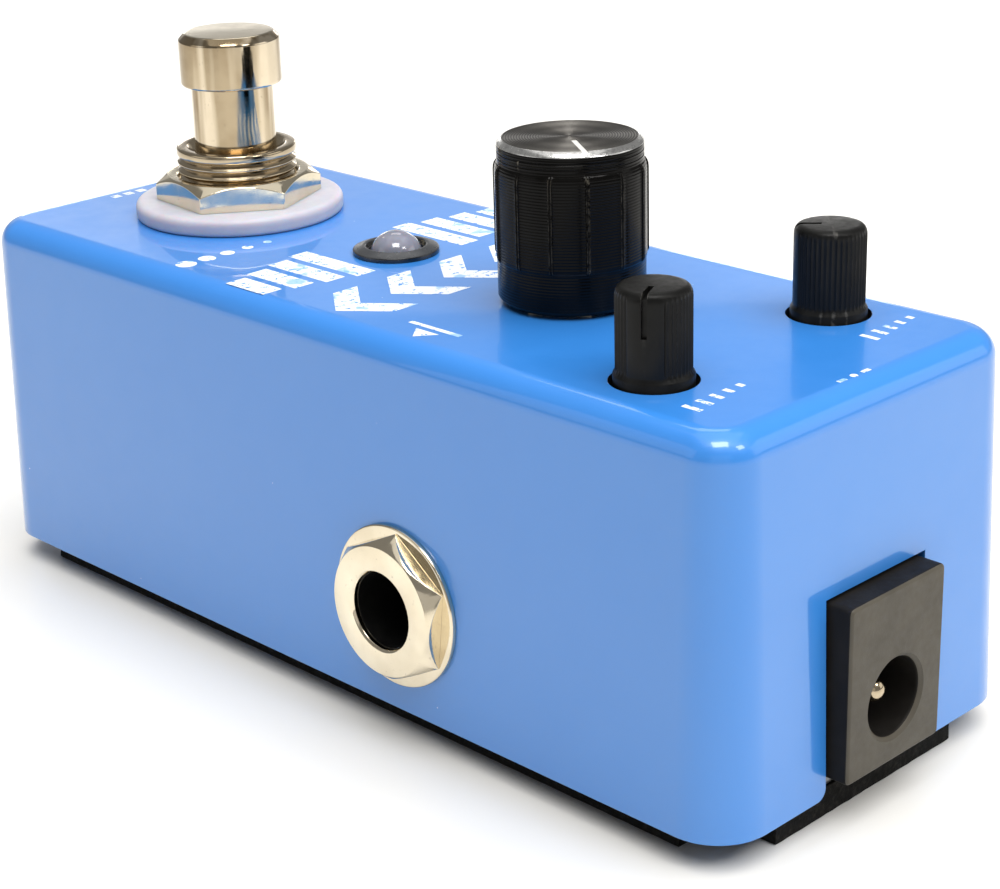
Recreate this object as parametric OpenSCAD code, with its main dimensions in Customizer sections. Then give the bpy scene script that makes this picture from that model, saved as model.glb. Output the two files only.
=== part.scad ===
// Mini guitar effects pedal: a drafted metal box with a footswitch, one large
// control, two small controls, a status lamp, two 1/4-inch jacks and a DC inlet.
// Millimetres. +X is the input-jack side, +Y the power end, +Z up, floor at zero.

/* [Enclosure] */
// Length of the box at its rim
box_l = 93.5; // [93:0.5:95]
// Width of the box at its rim
box_w = 37; // [37:0.5:38]
// Height from the rim to the top face
box_h = 31.7; // [31.5:0.1:32.5]
// Slope of each wall, narrowing upwards
draft = 1.6; // [1.2:0.1:1.8]
// Radius of the upright corners at the rim
corner_r = 4.8; // [4.4:0.1:5.2]
// Radius of the rounded top edge
edge_r = 2.3; // [1.8:0.1:2.6]
// Thickness of the side walls
wall = 2; // [1.8:0.1:2.2]
// Thickness of the top wall
top_t = 2.2; // [2:0.1:2.4]

/* [Base] */
// Thickness of the rubber pad
pad_t = 2.5; // [2:0.1:3]
// Gap from the rim to the pad at the two ends
pad_end_inset = 0.9; // [0.6:0.1:1.5]
// Gap from the rim to the pad along the two sides
pad_side_inset = 2; // [1.5:0.1:2.2]
// Side of the square notch in each corner of the pad
pad_notch = 5.2; // [5.1:0.1:6]
// Thickness of the base plate
plate_t = 1.2; // [1:0.1:1.5]

/* [Layout] */
// Footswitch position along the box
switch_y = -28.8; // [-29.2:0.2:-28.4]
// Status lamp position along the box
lamp_y = -6.8; // [-7.2:0.2:-6.6]
// Large control position along the box
knob_y = 14.8; // [14.4:0.2:15.2]
// Small controls position along the box
trim_y = 33; // [32.4:0.2:33]
// Small controls, distance from the centre line
trim_x = 10.5; // [10.3:0.1:10.5]
// Input jack position along the box
input_y = 11.9; // [11.3:0.1:12]
// Output jack position along the box
output_y = -4.8; // [-5:0.1:-4.6]
// Height of the jack centres above the floor
jack_z = 11.9; // [11.6:0.1:12.2]

/* [Footswitch] */
// Diameter of the wide cap
cap_d = 9.4; // [9:0.1:10]
// Diameter of the stem
stem_d = 7.66; // [7.4:0.02:7.7]
// How far the cap goes down when pressed
switch_travel = 3; // [2:0.1:3]
// Diameter over the thread crests of the bush
bush_d = 11.2; // [11:0.1:11.4]
// Nut size across the flats
switch_nut_af = 13.5; // [13:0.1:14]
// Diameter of the nylon washer
nylon_d = 19.6; // [19:0.1:20]

/* [Controls] */
// Diameter of the large knob over its ridges
knob_d = 12.8; // [12.6:0.1:13.2]
// Height of the large knob
knob_h = 13.4; // [12.8:0.1:13.6]
// Number of flutes round the large knob
flutes = 13; // [8:1:14]
// Direction the large knob points to, from +X towards +Y
knob_points = 56; // [-60:1:240]
// Diameter of the small knobs
trim_d = 5.8; // [5.6:0.1:6]
// Height of the small knobs above the top face
trim_h = 7.4; // [6.5:0.1:8]
// Direction the left small knob points to
left_points = -50; // [-60:1:240]
// Direction the right small knob points to
right_points = 27; // [-60:1:240]
// Diameter of the small knobs' holes in the top face
trim_hole_d = 6.9; // [6.7:0.1:7.1]

/* [Lamp] */
// Diameter of the lamp
lamp_d = 4.8; // [4.6:0.1:5]
// Diameter of the lamp's bezel
bezel_d = 7.7; // [7.4:0.1:8]

/* [Jacks] */
// Diameter of the 1/4-inch plug bore
plug_bore_d = 6.5; // [6.4:0.05:6.6]
// Jack nut size across the flats
jack_nut_af = 11.4; // [11.2:0.1:11.8]
// Thickness of the jack nut
jack_nut_t = 1.5; // [1.4:0.1:2]
// Turn of the input nut about its axis
input_nut_turn = 55; // [0:1:59]
// Diameter of the jack washer
jack_washer_d = 13.9; // [13.6:0.1:14.2]

/* [Power inlet] */
// Width of the inlet
dc_w = 11.8; // [11.4:0.1:12]
// Height of the inlet
dc_h = 14.7; // [14.4:0.1:14.8]
// Distance the inlet stands out of the end wall at the rim
dc_out = 1.7; // [1.2:0.1:2.2]
// Diameter of the plug hole
dc_hole_d = 6.4; // [6.2:0.1:6.6]
// Height of the plug hole above the underside of the inlet
dc_hole_up = 5.4; // [5:0.1:6]
// Diameter of the centre pin
dc_pin_d = 2.1; // [2:0.1:2.5]

/* [Hidden] */
$fn = 64;

// Small amounts: a cut's overshoot, a gap between fixed pieces, a running clearance
cut = 1;
gap = 0.1;
run = 0.06;

// Heights of the main levels
rim_z = pad_t;
plate_top = rim_z + plate_t;
top_z = rim_z + box_h;
ceiling_z = top_z - top_t;
slope = tan(draft);
// Flats that make up the rounded top edge
edge_steps = 8;
half_l = box_l / 2;
half_w = box_w / 2;

// Base plate sits in a step inside the rim
lip = 1.2;
plate_half_l = half_l - lip - gap;
plate_half_w = half_w - lip - gap;

// Corner screws and the bosses they go into
boss_x = half_w - 4.2;
boss_y = half_l - 3.55;
boss_r = 2.6;
boss_top = rim_z + 17.5;
pilot_r = 1.25;
screw_r = 1.2;
screw_head_r = 2.1;
screw_head_t = 1.1;
screw_grip = 6.5;
cross_w = 0.6;

// Boards
board_t = 1.6;
board_z = rim_z + 17.7;
board_top = board_z + board_t;
board_half_w = half_w - 3.1;
board_foot = -18.6;
board_far = half_l - 6.8;
switch_board_z = rim_z + 10;
switch_board_t = 1.2;
pin_w = 0.64;
pin_hole_r = 0.5;
header_y = -16;
header_pins = 6;
header_pitch = 2.54;

// Footswitch
washer_t = 1.6;
nut_t = 2.35;
nut_z = top_z + washer_t;
bush_top = top_z + 6.55;
thread_pitch = 0.8;
thread_depth = 0.42;
bush_hole_r = bush_d / 2 + 0.15;
recess_r = bush_d / 2 - 1;
recess_t = 1.1;
guard_r = stem_d / 2 + 0.5;
cap_z = top_z + 12.35;
cap_t = 4.8;
cap_chamfer = 0.55;
cover_top = ceiling_z - 2.6;
cover_t = 0.9;
housing_top = cover_top - cover_t;
housing_h = 12;
housing_z = housing_top - housing_h;
housing_w = 17;
housing_l = 17.2;
lower_nut_t = 1.9;
lock_washer_r = 8.4;
lock_teeth = 12;
guide_t = 3.7;
collar_t = 1.4;
collar_top = cover_top + guide_t - gap;
bridge_t = 0.5;
bridge_r = 5.4;
floor_t = 1.6;
spring_z = housing_z + floor_t;
spring_wire = 0.3;
spring_r = 2.2;
spring_turns = 4;
bridge_z = spring_z + 6;
spring_rise = bridge_z - spring_z;
rod_r = 1.4;
rod_tip = 1;
contact_top = bridge_z - switch_travel - 0.05;
contact_x = 4.1;
lug_w = 2;
lug_t = 0.8;

// Large knob and its control
knob_z = top_z + 0.3;
knob_top = knob_z + knob_h;
band_r = knob_d / 2 - 0.3;
collar_r = knob_d / 2 - 0.43;
disc_r = knob_d / 2 - 0.7;
flute_z = knob_z + 3.5;
flute_top = knob_top - 1.9;
flute_r = 5;
flute_depth = 0.22;
knob_recess_r = 5.4;
knob_recess_t = 3.4;
shaft_r = 3;
shaft_top = knob_top - 2.6;
shaft_fit = 0.02;
set_screw_r = 1.5;
set_screw_z = knob_z + 7.2;
pot_w = 9.8;
pot_l = 11;
pot_h = 6.4;
pot_top = board_top + pot_h;
pot_shell = 0.8;
pot_bush_r = 3.5;
pot_bush_top = top_z + 2.4;
pot_nut_t = 1.8;
pot_nut_r = 5.2;
wiper_r = 3.6;
wiper_t = 0.8;
wiper_z = board_top + 2.2;

// Small knobs and their controls
trim_r = trim_d / 2;
trim_top = top_z + trim_h;
trim_foot = pot_top + 0.8;
trim_pot_w = 9.2;
stub_r = 1.5;
stub_foot = wiper_z - 0.6;
slot_w = 0.45;
slot_t = 0.5;
slot_down = 3.4;
trim_foot_r = trim_r + 0.2;
trim_band_top = top_z + 0.7;

// Lamp
bezel_t = 0.75;
bezel_lip = 0.4;
bezel_stem_r = 3;
bezel_foot = ceiling_z - 1.6;
lamp_r = lamp_d / 2;
lamp_foot = bezel_foot - 1.4;
lamp_dome_z = top_z - 0.45;
lead_w = 0.5;
lead_pitch = 2.54;

// Jacks, drawn along +X from the outer face of the drafted wall
wall_at_jack = half_w - (jack_z - rim_z) * slope;
jack_washer_t = 0.5;
jack_lip_t = 0.6;
jack_lip_r = 3.45;
nose_r = 4.4;
nose_hole_r = nose_r + 0.2;
nose_end = jack_washer_t + jack_nut_t - jack_lip_t;
throat = -6.4;
jack_face = -(wall + 0.3);
jack_l = 28;
jack_w = 14;
jack_h = 13.6;
plug_bore_r = plug_bore_d / 2;
bore_depth = 31;
body_bore_r = 3.8;
slot_in_jack_w = 4;
strip_t = 0.4;
strip_w = 3;

// Power inlet
dc_x = 0.3;
dc_z = plate_top + 0.2;
dc_face = half_l + dc_out;
dc_l = 13;
dc_hole_z = dc_z + dc_hole_up;
dc_hole_l = 9.5;
dc_gap = 0.3;
slot_round = 1;
dc_chamfer = 0.35;

// ---------- shared shapes ----------

// Outline of a sloping wall with a rounded top edge, from the corner centre outwards
module wall_outline(reach, height, round_r) {
    round_x = reach - (height - round_r) * slope - round_r / cos(draft);
    round_y = height - round_r;
    edge = [for (i = [0 : edge_steps]) let (a = draft + i * (90 - draft) / edge_steps)
        [round_x + round_r * cos(a), round_y + round_r * sin(a)]];
    polygon(concat([[0, 0], [reach, 0]], edge, [[0, height]]));
}

// Solid block with sloping walls, round upright corners and a rounded top edge
module drafted_block(hl, hw, reach, height, round_r) {
    inner_l = hl - reach;
    inner_w = hw - reach;
    translate([-inner_w, -inner_l, 0]) cube([2 * inner_w, 2 * inner_l, height]);
    for (side = [0, 1]) mirror([side, 0, 0])
        translate([inner_w, inner_l, 0]) rotate([90, 0, 0])
            linear_extrude(2 * inner_l) wall_outline(reach, height, round_r);
    for (end = [0, 1]) mirror([0, end, 0])
        translate([-inner_w, inner_l, 0]) rotate([90, 0, 90])
            linear_extrude(2 * inner_w) wall_outline(reach, height, round_r);
    for (side = [0, 1]) for (end = [0, 1]) mirror([side, 0, 0]) mirror([0, end, 0])
        translate([inner_w, inner_l, 0])
            rotate_extrude(angle = 90) wall_outline(reach, height, round_r);
}

// Flat rounded rectangle
module rounded_plate(hl, hw, r, t) {
    linear_extrude(t) {
        square([2 * hw, 2 * (hl - r)], center = true);
        square([2 * (hw - r), 2 * hl], center = true);
        for (x = [-1, 1]) for (y = [-1, 1])
            translate([x * (hw - r), y * (hl - r)]) circle(r);
    }
}

module at_corners() {
    for (x = [-1, 1]) for (y = [-1, 1])
        translate([x * boss_x, y * boss_y, 0]) children();
}

// Ring with a round hole
module ring(outer_r, inner_r, t) {
    difference() {
        cylinder(r = outer_r, h = t);
        translate([0, 0, -cut]) cylinder(r = inner_r, h = t + 2 * cut);
    }
}

// Hexagonal nut; its top corners are cut back by a cone that spreads towards the foot
module hex_nut(af, bore_r, t, turn, spread) {
    corner = af / sqrt(3);
    difference() {
        intersection() {
            rotate([0, 0, turn]) cylinder(r = corner, h = t, $fn = 6);
            cylinder(r1 = af / 2 - 0.15 + spread, r2 = af / 2 - 0.15, h = t);
        }
        translate([0, 0, -cut]) cylinder(r = bore_r, h = t + 2 * cut);
    }
}

// Stack of V-grooves, as a thread looks from outside
module grooves(outer_r, from_z, count, pitch, depth) {
    for (i = [0 : count - 1]) translate([0, 0, from_z + i * pitch])
        rotate_extrude() polygon([[outer_r - depth, pitch / 2], [outer_r + gap, 0.04],
                                  [outer_r + gap, pitch - 0.04]]);
}

// Coil of half turns that tilt to and fro, so each meets the next
module coil(r, wire, turns, rise) {
    step = (rise - 2 * wire) / (2 * turns);
    tilt = asin(step / (2 * r));
    for (i = [0 : 2 * turns - 1]) translate([0, 0, wire + (i + 0.5) * step])
        rotate([0, 0, 180 * (i % 2)]) rotate([0, -tilt, 0]) mirror([1, 0, 0])
            rotate_extrude(angle = 180) translate([r, 0]) circle(wire, $fn = 16);
}

// Square pins in a row along X
module pin_row(count, pitch, from_z, to_z) {
    for (i = [0 : count - 1])
        translate([(i - (count - 1) / 2) * pitch - pin_w / 2, -pin_w / 2, from_z])
            cube([pin_w, pin_w, to_z - from_z]);
}

module pin_holes(count, pitch, from_z, t) {
    for (i = [0 : count - 1]) translate([(i - (count - 1) / 2) * pitch, 0, from_z - cut])
        cylinder(r = pin_hole_r, h = t + 2 * cut, $fn = 24);
}

// ---------- enclosure and base ----------

module enclosure() color("dodgerblue") {
    difference() {
        translate([0, 0, rim_z]) drafted_block(half_l, half_w, corner_r, box_h, edge_r);
        translate([0, 0, rim_z]) difference() {
            drafted_block(half_l - wall, half_w - wall, corner_r - wall, box_h - top_t, 1);
            at_corners() translate([0, 0, -cut]) difference() {
                cylinder(r = boss_r, h = boss_top - rim_z + cut);
                cylinder(r = pilot_r, h = boss_top - rim_z - cut);
            }
        }
        translate([0, 0, rim_z - cut])
            rounded_plate(half_l - lip, half_w - lip, corner_r - lip, plate_t + cut);
        translate([0, switch_y, ceiling_z - cut]) cylinder(r = bush_hole_r, h = top_t + 2 * cut);
        translate([0, lamp_y, ceiling_z - cut]) cylinder(r = bezel_stem_r + gap, h = top_t + 2 * cut);
        translate([0, knob_y, ceiling_z - cut]) cylinder(r = pot_bush_r + gap, h = top_t + 2 * cut);
        for (x = [-trim_x, trim_x]) translate([x, trim_y, ceiling_z - cut])
            cylinder(d = trim_hole_d, h = top_t + 2 * cut);
        jack_place(1, input_y) nose_hole();
        jack_place(-1, output_y) nose_hole();
        dc_slot();
    }
}

module nose_hole() {
    rotate([0, 90, 0]) translate([0, 0, -2 * wall]) cylinder(r = nose_hole_r, h = 4 * wall);
}

// Slot for the inlet, open at the rim, with its two lower corners rounded off
module dc_slot() {
    slot_half = dc_w / 2 + dc_gap;
    slot_top = dc_z + dc_h + dc_gap;
    mouth = slot_half + slot_round;
    translate([dc_x, half_l + wall, rim_z]) rotate([90, 0, 0]) linear_extrude(3 * wall) {
        translate([-slot_half, -cut]) square([2 * slot_half, slot_top - rim_z + cut]);
        difference() {
            translate([-mouth, -cut]) square([2 * mouth, slot_round + cut]);
            for (x = [-mouth, mouth]) translate([x, slot_round]) circle(slot_round);
        }
    }
}

module base_plate() color("silver") {
    difference() {
        translate([0, 0, rim_z])
            rounded_plate(plate_half_l, plate_half_w, corner_r - lip - gap, plate_t);
        at_corners() translate([0, 0, rim_z - cut]) cylinder(r = screw_r + gap, h = plate_t + 2 * cut);
    }
}

module base_pad() color("dimgray") {
    pad_half_w = half_w - pad_side_inset;
    pad_half_l = half_l - pad_end_inset;
    linear_extrude(pad_t) difference() {
        square([2 * pad_half_w, 2 * pad_half_l], center = true);
        for (x = [-1, 1]) for (y = [-1, 1])
            translate([x * pad_half_w, y * pad_half_l])
                square(2 * pad_notch, center = true);
    }
}

module base_screws() color("gray") {
    at_corners() {
        translate([0, 0, rim_z]) cylinder(r = screw_r, h = screw_grip);
        translate([0, 0, rim_z - screw_head_t]) difference() {
            intersection() {
                cylinder(r = screw_head_r, h = screw_head_t);
                translate([0, 0, 2.6]) sphere(2.8);
            }
            for (a = [0, 90]) rotate([0, 0, a])
                translate([-1.3, -cross_w / 2, -cut]) cube([2.6, cross_w, cut + 0.7]);
        }
    }
}

// ---------- footswitch ----------

// Cap, stem, stop collar and rod turned in one piece
module switch_cap() color("gainsboro") {
    translate([0, switch_y, 0]) rotate_extrude() polygon([
        [0, bridge_z - rod_tip], [rod_r, bridge_z - rod_tip],
        [rod_r, collar_top - collar_t],
        [guard_r, collar_top - collar_t], [guard_r, collar_top],
        [stem_d / 2, collar_top], [stem_d / 2, cap_z],
        [cap_d / 2, cap_z], [cap_d / 2, cap_z + cap_t - cap_chamfer],
        [cap_d / 2 - cap_chamfer, cap_z + cap_t], [0, cap_z + cap_t]]);
}

// Threaded bush with the switch's square cover plate
module switch_bush() color("silver") {
    translate([0, switch_y, 0]) difference() {
        union() {
            translate([0, 0, housing_top]) cylinder(d = bush_d, h = bush_top - housing_top);
            translate([-housing_w / 2, -housing_l / 2, housing_top])
                cube([housing_w, housing_l, cover_t]);
        }
        translate([0, 0, housing_top - cut]) cylinder(d = stem_d + 2 * run, h = bush_top);
        translate([0, 0, housing_top - cut])
            cylinder(r = guard_r + run, h = cover_t + guide_t + cut);
        translate([0, 0, bush_top - recess_t])
            cylinder(r1 = guard_r - 0.2, r2 = recess_r, h = recess_t + 0.01);
        grooves(bush_d / 2, cover_top + 0.3, 14, thread_pitch, thread_depth);
    }
}

module switch_nut() color("silver") {
    translate([0, switch_y, nut_z]) hex_nut(switch_nut_af, bush_d / 2 + 0.02, nut_t, 24, 2);
}

module switch_washer() color("whitesmoke") {
    translate([0, switch_y, top_z]) ring(nylon_d / 2, bush_hole_r, washer_t);
}

module switch_lower_nut() color("silver") {
    translate([0, switch_y, cover_top])
        hex_nut(switch_nut_af, bush_d / 2 + 0.02, lower_nut_t, 0, 3);
}

// Toothed lock washer under the top wall
module switch_lock_washer() color("silver") {
    washer_z = cover_top + lower_nut_t;
    translate([0, switch_y, washer_z]) difference() {
        ring(lock_washer_r, bush_hole_r, ceiling_z - washer_z);
        for (i = [0 : lock_teeth - 1]) rotate([0, 0, i * 360 / lock_teeth])
            translate([lock_washer_r - 1.1, -0.5, -cut]) cube([2, 1, 3]);
    }
}

module switch_housing() color("navy") {
    well_r = bridge_r + 0.6;
    translate([0, switch_y, 0]) difference() {
        translate([-housing_w / 2, -housing_l / 2, housing_z])
            cube([housing_w, housing_l, housing_h]);
        translate([0, 0, spring_z]) cylinder(r = well_r, h = housing_h);
        for (x = [-contact_x, contact_x]) translate([x, 0, housing_z - cut])
            translate([-lug_t / 2 - gap / 2, -lug_w / 2 - gap / 2, 0])
                cube([lug_t + gap, lug_w + gap, floor_t + 2 * cut]);
    }
}

module switch_spring() color("silver") {
    translate([0, switch_y, spring_z]) coil(spring_r, spring_wire, spring_turns, spring_rise);
}

// Moving contact at the foot of the rod
module switch_bridge() color("gold") {
    translate([0, switch_y, bridge_z]) ring(bridge_r, rod_r, bridge_t);
}

// Two fixed contacts with their solder lugs
module switch_lugs() color("gold") {
    translate([0, switch_y, 0]) for (side = [-1, 1]) {
        translate([side * contact_x - lug_t / 2, -lug_w / 2, switch_board_z - 0.8])
            cube([lug_t, lug_w, contact_top - switch_board_z + 0.8]);
        translate([side * contact_x - lug_t / 2 - (side > 0 ? 0 : 0.5), -lug_w / 2, contact_top - 0.5])
            cube([lug_t + 0.5, lug_w, 0.5]);
    }
}

module switch_board() color("darkgreen") {
    board_l = header_y + 2.4 - (switch_y - 9.4);
    difference() {
        translate([-9, switch_y - 9.4, switch_board_z]) cube([18, board_l, switch_board_t]);
        translate([0, header_y, 0])
            pin_holes(header_pins, header_pitch, switch_board_z, switch_board_t);
        for (x = [-contact_x, contact_x])
            translate([x - lug_t / 2 - gap, switch_y - lug_w / 2 - gap, switch_board_z - cut])
                cube([lug_t + 2 * gap, lug_w + 2 * gap, switch_board_t + 2 * cut]);
    }
}

// Black spacer strip with pins into both boards
module board_header() color("black") {
    strip_z = switch_board_z + switch_board_t;
    strip_l = header_pins * header_pitch;
    translate([0, header_y, 0]) {
        translate([-strip_l / 2, -1.27, strip_z]) cube([strip_l, 2.54, board_z - strip_z]);
        pin_row(header_pins, header_pitch, switch_board_z - 0.8, board_top + 0.8);
    }
}

// ---------- jacks ----------

// Puts a jack drawn along +X onto the sloping wall of one side
module jack_place(side, y) {
    translate([side * wall_at_jack, y, jack_z])
        rotate([0, -draft, side < 0 ? 180 : 0]) children();
}

// Dress nut: a hex nut whose front lip covers the end of the jack's nose
module jack_nut(turn) {
    rotate([0, 90, 0]) translate([0, 0, jack_washer_t]) difference() {
        hex_nut(jack_nut_af, jack_lip_r, jack_nut_t, turn, 1.1);
        translate([0, 0, -cut])
            cylinder(r = nose_r + 0.02, h = jack_nut_t - jack_lip_t + cut);
    }
}

module jack_washer() {
    rotate([0, 90, 0]) ring(jack_washer_d / 2, nose_r + gap, jack_washer_t);
}

// Plastic body with its threaded nose, the plug's bore and a slot for the contact springs
module jack_body() {
    difference() {
        union() {
            translate([jack_face - jack_l, -jack_w / 2, -jack_h / 2])
                cube([jack_l, jack_w, jack_h]);
            rotate([0, 90, 0]) translate([0, 0, jack_face - cut])
                cylinder(r = nose_r, h = nose_end - jack_face + cut);
        }
        rotate([0, 90, 0]) translate([0, 0, throat - cut]) cylinder(r = plug_bore_r, h = bore_depth);
        rotate([0, 90, 0]) translate([0, 0, -bore_depth])
            cylinder(r = body_bore_r, h = bore_depth + throat);
        translate([jack_face - jack_l + 2, -slot_in_jack_w / 2, 0])
            cube([jack_l - 8, slot_in_jack_w, jack_h]);
    }
}

// Tip and sleeve springs with tails up into the main board
module jack_contacts() {
    tail_top = board_top + 0.6 - jack_z;
    bend_z = jack_h / 2 - 1.4;
    touch_z = plug_bore_r + 0.1;
    for (place = [[-28, 1], [-11, -1]])
        translate([place[0], strip_w / 2, 0]) rotate([90, 0, 0]) linear_extrude(strip_w)
            mirror([place[1] > 0 ? 0 : 1, 0, 0]) polygon([
                [0, bend_z], [0, tail_top], [strip_t, tail_top], [strip_t, bend_z + strip_t],
                [3, bend_z + strip_t], [5.5, touch_z + strip_t], [7, bend_z],
                [7 + strip_t, bend_z - 0.2], [5.5, touch_z], [3, bend_z]]);
}

module input_nut() color("silver") jack_place(1, input_y) jack_nut(input_nut_turn);
module input_washer() color("silver") jack_place(1, input_y) jack_washer();
module input_jack_body() color("black") jack_place(1, input_y) jack_body();
module input_jack_contacts() color("silver") jack_place(1, input_y) jack_contacts();
module output_nut() color("silver") jack_place(-1, output_y) jack_nut(0);
module output_washer() color("silver") jack_place(-1, output_y) jack_washer();
module output_jack_body() color("black") jack_place(-1, output_y) jack_body();
module output_jack_contacts() color("silver") jack_place(-1, output_y) jack_contacts();

// ---------- power inlet ----------

module dc_housing() color("black") {
    difference() {
        translate([dc_x - dc_w / 2, dc_face - dc_l, dc_z]) cube([dc_w, dc_l, dc_h]);
        translate([dc_x, dc_face, dc_hole_z]) rotate([90, 0, 0]) {
            translate([0, 0, -cut]) cylinder(d = dc_hole_d, h = dc_hole_l + cut);
            translate([0, 0, -0.01]) cylinder(d1 = dc_hole_d + 2 * dc_chamfer, d2 = dc_hole_d, h = dc_chamfer);
            cylinder(d = dc_pin_d + 0.02, h = dc_l + cut);
        }
        for (x = [-3, 0, 3]) translate([dc_x + x - 0.55, dc_face - dc_l + 1.45, dc_z + dc_h - 2])
            cube([1.1, 1.1, 3]);
    }
}

module dc_pin() color("silver") {
    pin_tip = 1.2;
    translate([dc_x, dc_face - pin_tip, dc_hole_z]) rotate([90, 0, 0]) {
        translate([0, 0, dc_pin_d / 2]) cylinder(d = dc_pin_d, h = dc_l - pin_tip - dc_pin_d / 2);
        translate([0, 0, dc_pin_d / 2]) sphere(d = dc_pin_d);
    }
}

// Three tails from the inlet up into the main board
module dc_contacts() color("silver") {
    for (x = [-3, 0, 3])
        translate([dc_x + x - pin_w / 2, dc_face - dc_l + 2 - pin_w / 2, dc_z + dc_h - 2])
            cube([pin_w, pin_w, board_top + 0.8 - dc_z - dc_h + 2]);
}

// ---------- large control ----------

module main_knob() color("black") {
    translate([0, knob_y, 0]) difference() {
        rotate_extrude() polygon([
            [0, knob_z], [band_r - 0.4, knob_z], [band_r, knob_z + 0.4],
            [band_r, flute_z], [knob_d / 2, flute_z + 0.5], [knob_d / 2, flute_top],
            [collar_r, flute_top + 0.2], [collar_r, knob_top - 0.3],
            [disc_r, knob_top], [0, knob_top]]);
        for (i = [0 : flutes - 1]) rotate([0, 0, (i + 0.5) * 360 / flutes])
            translate([knob_d / 2 - flute_depth + flute_r, 0, flute_z])
                cylinder(r = flute_r, h = flute_top - flute_z + 0.3);
        translate([0, 0, knob_z - cut]) cylinder(r = knob_recess_r, h = knob_recess_t + cut);
        translate([0, 0, knob_z]) cylinder(r = shaft_r + shaft_fit, h = shaft_top - knob_z);
        rotate([0, 0, knob_points]) {
            translate([2.1, -0.3, knob_top - 0.3]) cube([4, 0.6, 1]);
            translate([0, 0, set_screw_z]) rotate([0, -90, 0])
                cylinder(r = set_screw_r + gap / 2, h = knob_d);
        }
    }
}

// Hex-socket grub screw opposite the pointer
module knob_screw() color("dimgray") {
    grub_l = 2.6;
    translate([0, knob_y, set_screw_z]) rotate([0, 0, knob_points]) rotate([0, -90, 0])
        translate([0, 0, shaft_r + 0.05]) difference() {
            cylinder(r = set_screw_r, h = grub_l);
            translate([0, 0, grub_l - 1.2]) cylinder(r = 0.75, h = 2, $fn = 6);
        }
}

module main_pot_shaft() color("silver") {
    translate([0, knob_y, 0]) {
        translate([0, 0, wiper_z]) cylinder(r = shaft_r, h = shaft_top - wiper_z - 0.1);
    }
}

// Threaded neck of the control
module main_pot_bush() color("silver") {
    translate([0, knob_y, 0]) difference() {
        translate([0, 0, pot_top]) cylinder(r = pot_bush_r, h = pot_bush_top - pot_top);
        translate([0, 0, pot_top - cut]) cylinder(r = shaft_r + run, h = pot_bush_top);
    }
}

module main_pot_nut() color("silver") {
    translate([0, knob_y, top_z]) difference() {
        cylinder(r = pot_nut_r, h = pot_nut_t, $fn = 6);
        translate([0, 0, -cut]) cylinder(r = pot_bush_r + 0.02, h = pot_nut_t + 2 * cut);
    }
}

// Case of a control: a box with the track's round chamber and a shaft hole
module pot_case(w, hole_r) {
    difference() {
        translate([-w / 2, -pot_l / 2, board_top]) cube([w, pot_l, pot_h]);
        translate([0, 0, board_top + pot_shell])
            cylinder(r = wiper_r + 0.5, h = pot_h - 2 * pot_shell);
        translate([0, 0, board_top + pot_shell]) cylinder(r = hole_r, h = pot_h);
    }
}

// Wiper disc with its two contact fingers
module pot_wiper(bore_r) {
    translate([0, 0, wiper_z]) difference() {
        union() {
            cylinder(r = wiper_r, h = wiper_t);
            for (x = [-0.9, 0.9]) translate([x - 0.25, 2.4, -wiper_t]) cube([0.5, 0.8, wiper_t]);
        }
        translate([0, 0, -cut]) cylinder(r = bore_r, h = 3 * cut);
    }
}

module main_pot_body() color("gray") translate([0, knob_y, 0]) pot_case(pot_w, shaft_r + run);
module main_pot_wiper() color("gold") translate([0, knob_y, 0]) rotate([0, 0, knob_points])
    pot_wiper(shaft_r);

// ---------- small controls ----------

// Knob and shaft moulded in one piece, with a flat side and a pointer slot
module trim_knob(points) {
    rotate([0, 0, points]) difference() {
        rotate_extrude() polygon([
            [0, stub_foot], [stub_r, stub_foot], [stub_r, trim_foot], [trim_foot_r, trim_foot],
            [trim_foot_r, trim_band_top], [trim_r, trim_band_top + 0.1],
            [trim_r, trim_top - 0.5], [trim_r - 0.15, trim_top - 0.15],
            [trim_r - 0.5, trim_top], [0, trim_top]]);
        translate([0.8, -slot_w / 2, trim_top - slot_t]) cube([trim_d, slot_w, 1]);
        translate([trim_r - 0.3, -slot_w / 2, trim_top - slot_down]) cube([1, slot_w, trim_h]);
    }
}

module left_trim_knob() color("black") translate([-trim_x, trim_y, 0]) trim_knob(left_points);
module right_trim_knob() color("black") translate([trim_x, trim_y, 0]) trim_knob(right_points);
module left_trim_pot() color("gray") translate([-trim_x, trim_y, 0]) pot_case(trim_pot_w, stub_r + run);
module right_trim_pot() color("gray") translate([trim_x, trim_y, 0]) pot_case(trim_pot_w, stub_r + run);
module left_trim_wiper() color("gold") translate([-trim_x, trim_y, 0])
    rotate([0, 0, left_points]) pot_wiper(stub_r);
module right_trim_wiper() color("gold") translate([trim_x, trim_y, 0])
    rotate([0, 0, right_points]) pot_wiper(stub_r);

// ---------- lamp ----------

module led_lens() color("lightsteelblue") {
    translate([0, lamp_y, 0]) {
        translate([0, 0, lamp_foot]) cylinder(r = lamp_r, h = lamp_dome_z - lamp_foot);
        translate([0, 0, lamp_dome_z]) intersection() {
            sphere(lamp_r);
            cylinder(r = lamp_r, h = lamp_r);
        }
    }
}

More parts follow.
